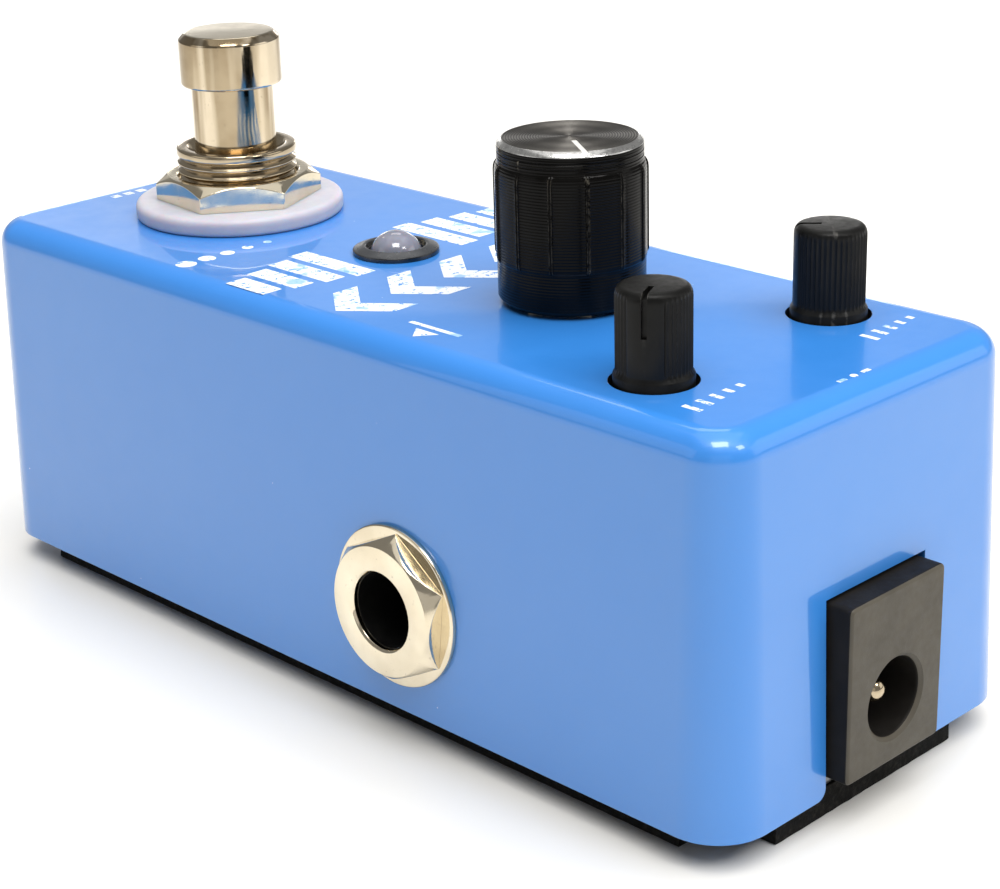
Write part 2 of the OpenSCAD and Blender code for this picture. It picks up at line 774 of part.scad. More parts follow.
// Round bezel with a thin tube through the top wall
module led_bezel() color("black") {
    translate([0, lamp_y, 0]) difference() {
        union() {
            translate([0, 0, bezel_foot]) cylinder(r = bezel_stem_r, h = top_z - bezel_foot + 0.1);
            translate([0, 0, top_z]) rotate_extrude() polygon([
                [0, 0], [bezel_d / 2, 0], [bezel_d / 2, bezel_lip],
                [bezel_d / 2 - 0.3, bezel_lip + 0.1], [bezel_d / 2 - 1, bezel_t], [0, bezel_t]]);
        }
        translate([0, 0, bezel_foot - cut]) cylinder(r = lamp_r + 0.03, h = 12);
        translate([0, 0, top_z + bezel_t - 0.4])
            cylinder(r1 = lamp_r + 0.03, r2 = lamp_r + 0.3, h = 0.41);
    }
}

module led_leads() color("silver") {
    for (x = [-lead_pitch / 2, lead_pitch / 2])
        translate([x - lead_w / 2, lamp_y - lead_w / 2, board_z - 0.8])
            cube([lead_w, lead_w, lamp_foot - board_z + 0.8]);
}

// ---------- main board and what stands on it ----------

module main_board() color("darkgreen") {
    difference() {
        translate([-board_half_w, board_foot, board_z])
            cube([2 * board_half_w, board_far - board_foot, board_t]);
        translate([0, header_y, 0]) pin_holes(header_pins, header_pitch, board_z, board_t);
        translate([0, lamp_y, 0]) pin_holes(2, lead_pitch, board_z, board_t);
        translate([dc_x, dc_face - dc_l + 2, 0]) pin_holes(3, 3, board_z, board_t);
        for (jack = [[1, input_y], [-1, output_y]]) for (x = [-28, -11])
            translate([jack[0] * (wall_at_jack + x) - 1.2, jack[1] - strip_w / 2 - 0.3, board_z - cut])
                cube([2.4, strip_w + 0.6, board_t + 2 * cut]);
    }
}

module bypass_relay() color("white") {
    translate([-14.7, board_foot + 0.4, board_top]) cube([7.4, 11.6, 5.4]);
}

// Delay chip and amplifier chip in plastic packages with bent legs
module chip(w, l, legs) {
    translate([-w / 2, -l / 2, board_top + 0.6]) cube([w, l, 3.2]);
    for (side = [-1, 1]) for (i = [0 : legs - 1])
        translate([side * (w / 2 + 0.3) - 0.35, (i - (legs - 1) / 2) * 2.54 - 0.25, board_top])
            cube([0.7, 0.5, 2.2]);
}

module effect_chips() color("black") {
    translate([8, -5.4, 0]) chip(6.4, 19, 7);
    translate([-9.6, 4.2, 0]) chip(6.4, 9.6, 3);
}

module electrolytic_capacitors() color("midnightblue") {
    for (place = [[-11.6, 13.2], [-11.6, 19.2], [11.6, 9.2], [11.6, 15.2], [11.6, 21.2]])
        translate([place[0], place[1], board_top]) difference() {
            cylinder(r = 2.5, h = 7);
            translate([0, 0, 1]) ring(2.6, 2.3, 0.5);
        }
}

module film_capacitors() color("firebrick") {
    for (y = [23.6, 27]) translate([-3.6, y, board_top]) cube([7.2, 2.5, 6]);
}

module resistors() color("tan") {
    for (i = [0 : 3]) translate([0, -1 + i * 2.6, board_top + 1]) {
        rotate([0, 90, 0]) translate([0, 0, -1.7]) cylinder(r = 0.85, h = 3.4, $fn = 24);
        for (x = [-2.3, 1.7]) translate([x, -0.25, -1]) cube([0.6, 0.5, 1.3]);
    }
}

module voltage_regulator() color("black") {
    translate([0, 34.6, board_top]) {
        translate([0, 0, 2]) intersection() {
            cylinder(r = 2.4, h = 4.6);
            translate([-3, -1.2, 0]) cube([6, 4, 5]);
        }
        pin_row(3, 1.27, 0, 2);
    }
}

enclosure();
base_plate();
base_pad();
base_screws();
switch_cap();
switch_bush();
switch_nut();
switch_washer();
switch_lock_washer();
switch_lower_nut();
switch_housing();
switch_spring();
switch_bridge();
switch_lugs();
switch_board();
board_header();
input_nut();
input_washer();
input_jack_body();
input_jack_contacts();
output_nut();
output_washer();
output_jack_body();
output_jack_contacts();
dc_housing();
dc_pin();
dc_contacts();
main_knob();
knob_screw();
main_pot_shaft();
main_pot_bush();
main_pot_nut();
main_pot_body();
main_pot_wiper();
left_trim_knob();
left_trim_pot();
left_trim_wiper();
right_trim_knob();
right_trim_pot();
right_trim_wiper();
led_lens();
led_bezel();
led_leads();
main_board();
bypass_relay();
effect_chips();
electrolytic_capacitors();
film_capacitors();
resistors();
voltage_regulator();
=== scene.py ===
"""Mini effects pedal: looks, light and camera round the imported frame. Lengths in mm."""

import math

import bmesh
import bpy
from mathutils import Matrix, Vector, noise


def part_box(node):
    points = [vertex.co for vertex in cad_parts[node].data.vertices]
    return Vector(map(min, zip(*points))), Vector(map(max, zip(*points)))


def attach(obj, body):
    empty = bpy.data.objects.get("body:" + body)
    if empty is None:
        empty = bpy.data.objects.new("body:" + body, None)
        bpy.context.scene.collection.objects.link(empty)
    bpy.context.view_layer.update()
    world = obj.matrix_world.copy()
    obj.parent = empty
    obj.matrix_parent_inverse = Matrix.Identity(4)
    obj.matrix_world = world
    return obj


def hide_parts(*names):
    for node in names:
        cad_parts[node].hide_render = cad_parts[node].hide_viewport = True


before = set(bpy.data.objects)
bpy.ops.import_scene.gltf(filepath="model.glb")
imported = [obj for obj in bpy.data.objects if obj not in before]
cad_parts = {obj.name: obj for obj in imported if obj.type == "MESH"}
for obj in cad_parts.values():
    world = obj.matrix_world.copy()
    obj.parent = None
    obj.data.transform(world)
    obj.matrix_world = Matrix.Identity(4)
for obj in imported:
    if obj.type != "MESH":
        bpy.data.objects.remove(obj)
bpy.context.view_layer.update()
MM = 0.001
DRAFT = math.radians(1.6)
ON_AXIS = 1e-4
SAME_POINT = 1e-7


# ---------- camera ----------

CAMERA_PLACE = (127.9, 137.2, 89.8)
CAMERA_ANGLES = (135.8, 21.1, -1.7)
CAMERA_LENS = 80.9
CAMERA_SENSOR = 36


def make_camera():
    azimuth, elevation, roll = (math.radians(angle) for angle in CAMERA_ANGLES)
    back = Vector(
        (
            math.sin(azimuth) * math.cos(elevation),
            -math.cos(azimuth) * math.cos(elevation),
            math.sin(elevation),
        )
    )
    right = (-back).cross(Vector((0, 0, 1))).normalized()
    up = right.cross(-back)
    turned_right = math.cos(roll) * right + math.sin(roll) * up
    turned_up = -math.sin(roll) * right + math.cos(roll) * up
    data = bpy.data.cameras.new("camera")
    data.lens = CAMERA_LENS
    data.sensor_width = CAMERA_SENSOR
    obj = bpy.data.objects.new("camera", data)
    bpy.context.scene.collection.objects.link(obj)
    matrix = Matrix((turned_right, turned_up, back)).transposed().to_4x4()
    matrix.translation = Vector(CAMERA_PLACE) * MM
    obj.matrix_world = matrix
    bpy.context.scene.camera = obj


make_camera()


# ---------- where the CAD says things are ----------


def span(node):
    low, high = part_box(node)
    return low / MM, high / MM


def middle(node):
    low, high = span(node)
    return (low + high) / 2


# ---------- shapes ----------


def rounded(points, radius, steps=4, closed=False):
    """The outline with each corner rounded; a point's third number is its own radius."""
    out = []
    count = len(points)
    for i, point in enumerate(points):
        own = point[2] if len(point) > 2 else radius
        before = Vector(points[i - 1][:2])
        here = Vector(point[:2])
        after = Vector(points[(i + 1) % count][:2])
        if own == 0 or (not closed and i in (0, count - 1)):
            out.append(tuple(here))
            continue
        reach = min(own, 0.45 * (before - here).length, 0.45 * (after - here).length)
        start = here + (before - here).normalized() * reach
        end = here + (after - here).normalized() * reach
        for k in range(steps + 1):
            t = k / steps
            out.append(tuple(start * (1 - t) ** 2 + here * 2 * t * (1 - t) + end * t * t))
    return out


def lathe(profile, steps=96, closed=False):
    """Verts and faces of a profile of (radius, height) turned about Z."""
    turns = [(2 * math.pi * i / steps, 0) for i in range(steps)]
    return relief_lathe([(radius, height, 0) for radius, height in profile], turns, closed)


def relief_lathe(levels, turns, closed=False):
    """A lathe with relief: levels are (radius, height, share), turns are (angle, relief)."""
    verts, faces, rings = [], [], []
    for radius, height, share in levels:
        if radius < ON_AXIS:
            rings.append([len(verts)] * len(turns))
            verts.append((0, 0, height))
            continue
        rings.append(list(range(len(verts), len(verts) + len(turns))))
        for angle, relief in turns:
            reach = radius + relief * share
            verts.append((reach * math.cos(angle), reach * math.sin(angle), height))
    for low, high in zip(rings, rings[1:] + (rings[:1] if closed else [])):
        add_band(faces, low, high)
    return verts, faces


def add_band(faces, low, high):
    count = len(low)
    for i in range(count):
        j = (i + 1) % count
        corners = []
        for v in (low[i], low[j], high[j], high[i]):
            if v not in corners:
                corners.append(v)
        if len(corners) > 2:
            faces.append(tuple(corners))


def stack(loops):
    """Verts and faces through equal loops of points, capped at both ends."""
    verts, faces = [], []
    count = len(loops[0])
    for loop in loops:
        verts += [tuple(p) for p in loop]
    for k in range(len(loops) - 1):
        low = list(range(k * count, (k + 1) * count))
        add_band(faces, low, [v + count for v in low])
    faces.append(tuple(range(count)))
    faces.append(tuple(range(len(verts) - count, len(verts))))
    return verts, faces


def block(low, high):
    x0, y0, z0 = low
    x1, y1, z1 = high
    loop = [(x0, y0), (x1, y0), (x1, y1), (x0, y1)]
    return stack([[(x, y, z0) for x, y in loop], [(x, y, z1) for x, y in loop]])


def prism(outline, z0, z1):
    return stack([[(x, y, z0) for x, y in outline], [(x, y, z1) for x, y in outline]])


def joined(*parts):
    verts, faces = [], []
    for part_verts, part_faces in parts:
        base = len(verts)
        verts += part_verts
        faces += [tuple(v + base for v in face) for face in part_faces]
    return verts, faces


def upright(centre, turn=0):
    """Places a lathed shape over a centre, turned by degrees about Z."""
    spin = Matrix.Rotation(math.radians(turn), 4, "Z")
    return Matrix.Translation((centre.x, centre.y, 0)) @ spin


def make(name, shape, place=None):
    """A mesh object from verts and faces in millimetres."""
    verts, faces = shape
    place = place or Matrix()
    mesh = bpy.data.meshes.new(name)
    mesh.from_pydata([(place @ Vector(v)) * MM for v in verts], [], faces)
    bm = bmesh.new()
    bm.from_mesh(mesh)
    bmesh.ops.remove_doubles(bm, verts=bm.verts, dist=SAME_POINT)
    bmesh.ops.recalc_face_normals(bm, faces=bm.faces)
    bm.to_mesh(mesh)
    bm.free()
    obj = bpy.data.objects.new(name, mesh)
    bpy.context.scene.collection.objects.link(obj)
    return obj


def settle(obj):
    """Makes the modifiers' result the object's own mesh."""
    bpy.context.view_layer.update()
    graph = bpy.context.evaluated_depsgraph_get()
    mesh = bpy.data.meshes.new_from_object(
        obj.evaluated_get(graph), preserve_all_data_layers=True, depsgraph=graph
    )
    obj.modifiers.clear()
    obj.data = mesh


def carve(obj, *cutters, operation="DIFFERENCE"):
    for cutter in cutters:
        modifier = obj.modifiers.new("carve", "BOOLEAN")
        modifier.operation = operation
        modifier.solver = "EXACT"
        modifier.object = cutter
        settle(obj)
        bpy.data.objects.remove(cutter)


def bevel(obj, width, segments=3, angle=40, where=None):
    """Rounds the sharp edges, or those whose middle passes the test."""
    mesh = obj.data
    bm = bmesh.new()
    bm.from_mesh(mesh)
    layer = bm.edges.layers.float.new("bevel_weight_edge")
    for edge in bm.edges:
        if len(edge.link_faces) != 2 or edge.calc_face_angle() < math.radians(angle):
            continue
        centre = (edge.verts[0].co + edge.verts[1].co) / 2 / MM
        if where is None or where(centre):
            edge[layer] = 1.0
    bm.to_mesh(mesh)
    bm.free()
    modifier = obj.modifiers.new("bevel", "BEVEL")
    modifier.limit_method = "WEIGHT"
    modifier.width = width * MM
    modifier.segments = segments
    settle(obj)


def dressed(obj, body, nodes, materials, sharp=32, flat_first=False):
    """Gives the piece its shading, materials, body and the CAD nodes it stands for."""
    mesh = obj.data
    mesh.materials.clear()
    for material in materials:
        mesh.materials.append(material)
    mesh.shade_smooth()
    mesh.set_sharp_from_angle(angle=math.radians(sharp))
    if flat_first:
        modifier = obj.modifiers.new("normals", "WEIGHTED_NORMAL")
        modifier.keep_sharp = True
        modifier.weight = 100
    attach(obj, body)
    if nodes:
        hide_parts(*nodes)
    return obj


def paint_faces(obj, index, test):
    """Gives the faces whose middle passes the test another of the object's materials."""
    for face in obj.data.polygons:
        if test(face.center / MM, face.normal):
            face.material_index = index


# ---------- materials ----------


def srgb(red, green, blue):
    out = []
    for value in (red, green, blue):
        c = value / 255
        out.append(c / 12.92 if c <= 0.04045 else ((c + 0.055) / 1.055) ** 2.4)
    return (*out, 1.0)


class Finish:
    """A Principled material whose colour, roughness and bump come from patterns at real scale."""

    def __init__(self, name, colour, metallic=0.0, roughness=0.5, **direct):
        self.material = bpy.data.materials.new(name)
        self.material.use_nodes = True
        self.tree = self.material.node_tree
        self.shader = self.tree.nodes["Principled BSDF"]
        self.colour = colour
        self.set("Base Color", colour)
        self.set("Metallic", metallic)
        self.set("Roughness", roughness)
        for key, value in direct.items():
            self.set(key.replace("_", " ").title().replace("Ior", "IOR"), value)
        self.colour_out = None
        self.normal_out = None

    def set(self, socket, value):
        self.shader.inputs[socket].default_value = value

    def node(self, kind, **values):
        made = self.tree.nodes.new(kind)
        for key, value in values.items():
            if hasattr(made, key):
                setattr(made, key, value)
            else:
                made.inputs[key.replace("_", " ").title()].default_value = value
        return made

    def link(self, out, into):
        self.tree.links.new(out, into)

    def coords(self, stretch=(1, 1, 1), centre=(0, 0, 0)):
        source = self.node("ShaderNodeTexCoord")
        mapping = self.node("ShaderNodeMapping")
        mapping.inputs["Scale"].default_value = stretch
        mapping.inputs["Location"].default_value = [
            -c * MM * s for c, s in zip(centre, stretch)
        ]
        self.link(source.outputs["Object"], mapping.inputs["Vector"])
        return mapping.outputs["Vector"]

    def noise(self, size, detail=3.0, roughness=0.55, stretch=(1, 1, 1)):
        """Noise whose blobs are about size millimetres across."""
        texture = self.node("ShaderNodeTexNoise", scale=1 / (size * MM), detail=detail)
        texture.inputs["Roughness"].default_value = roughness
        self.link(self.coords(stretch), texture.inputs["Vector"])
        return texture.outputs["Fac"]

    def lines(self, pitch, direction="Z", rings=False, centre=(0, 0, 0), wobble=0.0):
        """Parallel lines or rings, pitch millimetres apart."""
        texture = self.node("ShaderNodeTexWave")
        texture.wave_type = "RINGS" if rings else "BANDS"
        if rings:
            texture.rings_direction = direction
        else:
            texture.bands_direction = direction
        texture.inputs["Scale"].default_value = 2 * math.pi / (20 * pitch * MM)
        texture.inputs["Distortion"].default_value = wobble
        self.link(self.coords(centre=centre), texture.inputs["Vector"])
        return texture.outputs["Fac"]

    def specks(self, size, radius):
        """1 in the middle of scattered round specks, 0 elsewhere."""
        texture = self.node("ShaderNodeTexVoronoi", scale=1 / (size * MM))
        self.link(self.coords(), texture.inputs["Vector"])
        edge = self.ramp(texture.outputs["Distance"], radius / size, 0.6 * radius / size)
        keep = self.ramp(texture.outputs["Color"], 0.62, 0.66)
        both = self.node("ShaderNodeMath", operation="MULTIPLY")
        self.link(edge, both.inputs[0])
        self.link(keep, both.inputs[1])
        return both.outputs["Value"]

    def ramp(self, out, low, high, to_low=0.0, to_high=1.0):
        spread = self.node("ShaderNodeMapRange")
        spread.clamp = True
        for key, value in (
            ("From Min", low),
            ("From Max", high),
            ("To Min", to_low),
            ("To Max", to_high),
        ):
            spread.inputs[key].default_value = value
        self.link(out, spread.inputs["Value"])
        return spread.outputs["Result"]

    def tint(self, out, colour):
        """Mixes another colour in by a pattern."""
        mix = self.node("ShaderNodeMix", data_type="RGBA")
        self.link(out, mix.inputs[0])
        if self.colour_out is None:
            mix.inputs[6].default_value = self.colour
        else:
            self.link(self.colour_out, mix.inputs[6])
        mix.inputs[7].default_value = colour
        self.colour_out = mix.outputs[2]
        self.link(self.colour_out, self.shader.inputs["Base Color"])
        return self

    def uneven(self, out, low, high):
        """Roughness from low to high by a pattern."""
        self.link(self.ramp(out, 0.3, 0.7, low, high), self.shader.inputs["Roughness"])
        return self

    def bump(self, out, depth, strength=1.0):
        """Relief of depth millimetres from a pattern."""
        made = self.node("ShaderNodeBump")
        made.inputs["Distance"].default_value = depth * MM
        made.inputs["Strength"].default_value = strength
        self.link(out, made.inputs["Height"])
        if self.normal_out is not None:
            self.link(self.normal_out, made.inputs["Normal"])
        self.normal_out = made.outputs["Normal"]
        self.link(self.normal_out, self.shader.inputs["Normal"])
        return self

    def worn(self, colour, low=0.53, high=0.6, amount=0.6):
        """Lighter edges where the surface is convex."""
        shape = self.node("ShaderNodeNewGeometry")
        edge = self.ramp(shape.outputs["Pointiness"], low, high, 0.0, amount)
        broken = self.node("ShaderNodeMath", operation="MULTIPLY")
        self.link(edge, broken.inputs[0])
        self.link(self.ramp(self.noise(0.5), 0.4, 0.6), broken.inputs[1])
        return self.tint(broken.outputs["Value"], colour)


ENAMEL_BLUE = srgb(52, 130, 212)


def enamel():
    f = Finish(
        "enamel", ENAMEL_BLUE, roughness=0.32, coat_weight=1.0, coat_roughness=0.035
    )
    f.tint(f.ramp(f.noise(14, 2), 0.3, 0.7, 0.0, 0.3), srgb(60, 136, 216))
    f.tint(f.ramp(f.specks(3.4, 0.09), 0.0, 1.0, 0.0, 0.75), srgb(226, 236, 246))
    f.uneven(f.noise(3.0), 0.28, 0.38)
    f.bump(f.noise(1.6, 1.0), 0.003, 0.5)
    return f.material


def ink():
    f = Finish("print_ink", srgb(226, 230, 234), roughness=0.5)
    worn = f.noise(0.55, 5.0, 0.7)
    f.tint(f.ramp(worn, 0.56, 0.6), ENAMEL_BLUE)
    f.tint(f.ramp(f.noise(2.8, 3.0), 0.6, 0.66, 0.0, 0.8), srgb(120, 172, 222))
    f.uneven(f.noise(0.8), 0.42, 0.6)
    f.bump(worn, 0.004, 0.5)
    return f.material


def nickel(name, colour, rough, brushed=None, reflection_streaks=False):
    f = Finish(name, colour, metallic=1.0, roughness=rough)
    if reflection_streaks:
        # Painted reflection: upright brown streaks stand in for the darker surroundings mirrored
        # round a plated cylinder.
        upright = f.noise(1.9, 2.0, 0.5, (1, 1, 0.06))
        f.tint(f.ramp(upright, 0.42, 0.56, 0.0, 1.0), srgb(150, 131, 102))
    f.tint(f.ramp(f.noise(5.0, 3.0), 0.35, 0.65, 0.0, 0.5), srgb(206, 190, 162))
    f.tint(f.ramp(f.noise(0.35, 4.0), 0.66, 0.74, 0.0, 0.5), srgb(134, 122, 104))
    f.uneven(f.noise(1.3), max(rough - 0.04, 0.03), rough + 0.07)
    f.bump(f.noise(2.2, 1.0), 0.01, 0.35)
    if brushed:
        f.bump(f.noise(0.12, 2.0, 0.5, brushed), 0.003, 0.35)
    return f.material


def plastic(name, colour, rough, grain=0.18, depth=0.012, lighter=None, **direct):
    f = Finish(name, colour, roughness=rough, **direct)
    lift = lighter or tuple(min(1.0, c * 1.5 + 0.006) for c in colour[:3]) + (1.0,)
    f.tint(f.ramp(f.noise(2.4, 4.0), 0.35, 0.7, 0.0, 0.5), lift)
    f.uneven(f.noise(0.6), rough - 0.06, rough + 0.09)
    f.bump(f.noise(grain, 2.0), depth, 0.6)
    return f


def steel(name, colour, rough, brush=(1, 1, 1)):
    f = Finish(name, colour, metallic=1.0, roughness=rough)
    f.tint(f.ramp(f.noise(1.8, 4.0), 0.35, 0.7, 0.0, 0.4), srgb(120, 120, 122))
    f.uneven(f.noise(0.7), rough - 0.08, rough + 0.12)
    f.bump(f.noise(0.2, 3.0, 0.6, brush), 0.006, 0.5)
    return f.material


def board(name):
    f = Finish(name, srgb(24, 84, 48), roughness=0.35, coat_weight=0.5)
    f.tint(f.ramp(f.lines(2.54, "X", wobble=3.0), 0.75, 0.82, 0.0, 0.6), srgb(50, 118, 70))
    f.uneven(f.noise(1.1), 0.28, 0.45)
    f.bump(f.noise(0.4, 3.0), 0.008, 0.5)
    return f.material


def knob_black():
    f = Finish("knob_black", srgb(8, 7, 6), roughness=0.2, specular_ior_level=0.11)
    f.tint(f.ramp(f.noise(3.0, 4.0), 0.4, 0.7, 0.0, 0.5), srgb(12, 11, 9))
    f.worn(srgb(112, 106, 94), 0.54, 0.62, 0.7)
    f.uneven(f.noise(0.5), 0.14, 0.26)
    f.bump(f.lines(0.25), 0.02, 0.7)
    return f.material


def knob_disc(centre):
    f = Finish(
        "knob_disc",
        srgb(150, 147, 142),
        metallic=1.0,
        roughness=0.55,
        anisotropic=0.9,
        anisotropic_rotation=0.25,
    )
    tangent = f.node("ShaderNodeTangent")
    tangent.direction_type = "RADIAL"
    tangent.axis = "Z"
    f.link(tangent.outputs["Tangent"], f.shader.inputs["Tangent"])
    rings = f.lines(0.22, "Z", rings=True, centre=(centre.x, centre.y, 0))
    f.tint(f.ramp(rings, 0.2, 0.8, 0.0, 0.9), srgb(46, 45, 44))
    f.bump(rings, 0.006, 0.5)
    return f.material


def knob_bright():
    f = Finish("knob_bright", srgb(238, 238, 236), metallic=1.0, roughness=0.2)
    f.tint(f.ramp(f.noise(0.4, 3.0), 0.5, 0.7, 0.0, 0.5), srgb(170, 170, 170))
    f.uneven(f.noise(0.3), 0.14, 0.28)
    f.bump(f.lines(0.1), 0.003, 0.4)
    return f.material


def trim_black():
    f = plastic("trim_black", srgb(10, 10, 9), 0.36, 0.12, 0.01, specular_ior_level=0.2)
    f.worn(srgb(92, 90, 86), 0.54, 0.64, 0.45)
    return f.material


def lens():
    f = Finish(
        "lamp_lens",
        srgb(118, 120, 134),
        roughness=0.1,
        subsurface_weight=0.25,
        subsurface_scale=0.001,
        coat_weight=1.0,
        coat_roughness=0.03,
    )
    f.tint(f.ramp(f.noise(1.6, 2.0), 0.35, 0.7, 0.0, 0.5), srgb(148, 150, 164))
    f.uneven(f.noise(0.9), 0.07, 0.16)
    f.bump(f.noise(1.2, 1.0), 0.004, 0.4)
    return f.material


def nylon():
    f = Finish(
        "nylon",
        srgb(188, 187, 196),
        roughness=0.42,
        subsurface_weight=0.45,
        subsurface_scale=0.0015,
    )
    f.tint(f.ramp(f.noise(3.0, 3.0), 0.35, 0.7, 0.0, 0.5), srgb(172, 172, 184))
    f.uneven(f.noise(0.9), 0.34, 0.5)
    f.bump(f.noise(0.4, 3.0), 0.01, 0.5)
    return f.material


def rubber():
    f = Finish("base_rubber", srgb(9, 9, 8), roughness=0.9, specular_ior_level=0.25)
    f.tint(f.ramp(f.noise(0.5, 4.0), 0.5, 0.72, 0.0, 0.8), srgb(44, 41, 38))
    f.uneven(f.noise(0.8), 0.8, 0.98)
    f.bump(f.noise(0.28, 4.0, 0.7), 0.09, 0.9)
    return f.material


def socket_plastic():
    f = plastic("inlet_plastic", srgb(66, 61, 51), 0.52, 0.14, 0.016)
    f.bump(f.noise(0.5, 3.0), 0.01, 0.4)
    return f.material


ENAMEL = enamel()
# A darker copy of the nickel plating: painted shade to match the shaded threads of the bush, shared
# by the other plated parts.
NICKEL_SHADED = nickel("nickel", srgb(188, 172, 146), 0.12)
NICKEL_NUT = nickel("nickel_nut", srgb(238, 227, 203), 0.1, (1, 1, 1))
# Turned nickel with painted reflection streaks down its sides.
NICKEL_TURNED_REFLECTIONS = nickel("nickel_turned_reflections", srgb(232, 218, 194), 0.09, (0.06, 0.06, 1), True)
BLACK_PLASTIC = plastic("black_plastic", srgb(10, 10, 10), 0.34, specular_ior_level=0.35).material
BEZEL_PLASTIC = plastic(
    "bezel_plastic", srgb(13, 13, 13), 0.24, 0.3, 0.005, specular_ior_level=0.8
).material
# A grey copy of the black bezel plastic: painted sheen on its upward faces.
BEZEL_TOP_SHEEN = plastic("bezel_top_sheen", srgb(48, 50, 53), 0.3, 0.22, 0.008).material
POINTER_WHITE = plastic("pointer_white", srgb(205, 203, 198), 0.4, 0.1, 0.004).material
# Dark grey for the casting's inside and hole walls: partly the bare casting, partly painted shade
# down the holes.
SHADED_BARE_CASTING = steel("shaded_bare_casting", srgb(70, 70, 72), 0.5)
INLET = socket_plastic()
# A near-black copy of the inlet plastic: painted shade on the housing's top, sides and the walls of
# its mouth.
INLET_SHADE = plastic(
    "inlet_shade", srgb(26, 24, 22), 0.5, 0.2, 0.008, specular_ior_level=0.12
).material
RUBBER = rubber()
NYLON = nylon()
LENS = lens()
TRIM_BLACK = trim_black()


# ---------- enclosure ----------

JACK_WASHER_T = 0.5
WALL = 2.0
TOP_WALL = 2.2
LIP = 1.2
CORNER = 4.8
TOP_EDGE = 2.3
BOSS_R = 2.6
BOSS_H = 17.5
PILOT_R = 1.25
PILOT_H = 16.5
SCREW_HEAD_R = 2.1
JACK_HOLE_R = 4.6


def corner_loop(centre_x, centre_y, reach, steps):
    """A rounded rectangle: arcs of one radius about the centres of its four corners."""
    loop = []
    for quarter, (sx, sy) in enumerate(((1, 1), (-1, 1), (-1, -1), (1, -1))):
        for k in range(steps + 1):
            angle = math.radians(90 * quarter + 90 * k / steps)
            x = sx * centre_x + reach * math.cos(angle)
            loop.append((x, sy * centre_y + reach * math.sin(angle)))
    return loop


def drafted(half_l, half_w, corner, z0, height, edge, arc_steps=20, edge_steps=14):
    """A block with sloping walls, round upright corners and a rounded top edge."""
    slope = math.tan(DRAFT)
    round_x = corner - (height - edge) * slope - edge / math.cos(DRAFT)
    levels = [(corner, 0.0), (corner - 0.35 * slope, 0.35)]
    for i in range(edge_steps + 1):
        angle = DRAFT + i * (math.pi / 2 - DRAFT) / edge_steps
        rise = height - edge + edge * math.sin(angle)
        levels.append((round_x + edge * math.cos(angle), rise))
    loops = []
    for reach, rise in levels:
        loop = corner_loop(half_w - corner, half_l - corner, reach, arc_steps)
        loops.append([(x, y, z0 + rise) for x, y in loop])
    return stack(loops)


def cylinder(name, x, y, z0, z1, radius, steps=96):
    profile = [(0, z0), (radius, z0), (radius, z1), (0, z1)]
    return make(name, lathe(profile, steps), Matrix.Translation((x, y, 0)))


def jack_frame(washer):
    """Where a jack sits on its sloping wall: local Z runs outwards along the jack."""
    low, high = span(washer)
    side = 1 if high.x > 0 else -1
    turn = Matrix.Rotation(0 if side > 0 else math.pi, 4, "Z")
    turn = turn @ Matrix.Rotation(-DRAFT, 4, "Y") @ Matrix.Rotation(math.pi / 2, 4, "Y")
    out = turn @ Vector((0, 0, 1))
    centre = (low + high) / 2 - out * (JACK_WASHER_T / 2)
    return Matrix.Translation(centre) @ turn


def make_enclosure():
    low, high = span("enclosure")
    half_w, half_l, rim, top = high.x, high.y, low.z, high.z
    ceiling = top - TOP_WALL
    shell = drafted(half_l, half_w, CORNER, rim, top - rim, TOP_EDGE)
    box = make("pedal_enclosure", shell)
    inner = (half_l - WALL, half_w - WALL, CORNER - WALL, rim, top - rim - TOP_WALL)
    cavity = make("cavity", drafted(*inner, 1, 10, 6))
    screws = span("base_screws")[1]
    boss_x, boss_y = screws.x - SCREW_HEAD_R, screws.y - SCREW_HEAD_R
    bosses = []
    for sx in (-1, 1):
        for sy in (-1, 1):
            x, y = sx * boss_x, sy * boss_y
            boss = cylinder("boss", x, y, rim - 1, rim + BOSS_H, BOSS_R, 40)
            pilot = cylinder("pilot", x, y, rim - 2, rim + PILOT_H, PILOT_R, 32)
            carve(boss, pilot)
            bosses.append(boss)
    carve(cavity, *bosses)
    carve(box, cavity)
    step = corner_loop(half_w - CORNER, half_l - CORNER, CORNER - LIP, 12)
    plate_high = span("base_plate")[1].z
    carve(box, make("rim_step", prism(step, rim - 1, plate_high)))
    for node, radius in (
        ("switch_bush", 5.75),
        ("led_bezel", 3.1),
        ("main_pot_bush", 3.6),
        ("left_trim_knob", 3.45),
        ("right_trim_knob", 3.45),
    ):
        centre = middle(node)
        carve(box, cylinder("hole", centre.x, centre.y, ceiling - 1, top + 1, radius))
    for washer in ("input_washer", "output_washer"):
        hole = lathe([(0, -4), (JACK_HOLE_R, -4), (JACK_HOLE_R, 4), (0, 4)], 72)
        carve(box, make("hole", hole, jack_frame(washer)))
    carve(box, inlet_slot(half_l, rim))
    bevel(
        box,
        0.22,
        3,
        50,
        lambda p: p.z > top - 0.05
        or (p.y > half_l - 1.6 and abs(p.x) < 9 and p.z < 20)
        or (p.z < rim + 0.02 and (abs(p.x) > half_w - 0.1 or abs(p.y) > half_l - 0.1)),
    )
    dressed(box, "chassis", ["enclosure"], [ENAMEL, SHADED_BARE_CASTING], 38, flat_first=True)

    def shaded_bare(p, normal):
        """The inside of the casting and the walls of its holes: bare metal, darkened to dark grey as
        painted shade.
        """
        wall = WALL + (p.z - rim) * math.tan(DRAFT) - 0.1
        inside = abs(p.x) < half_w - wall and abs(p.y) < half_l - wall
        hole_wall = p.z < top - 0.26 and abs(normal.z) < 0.1
        return inside and (rim + 0.05 < p.z < ceiling + 0.01 or hole_wall)

    paint_faces(box, 1, shaded_bare)
    return box


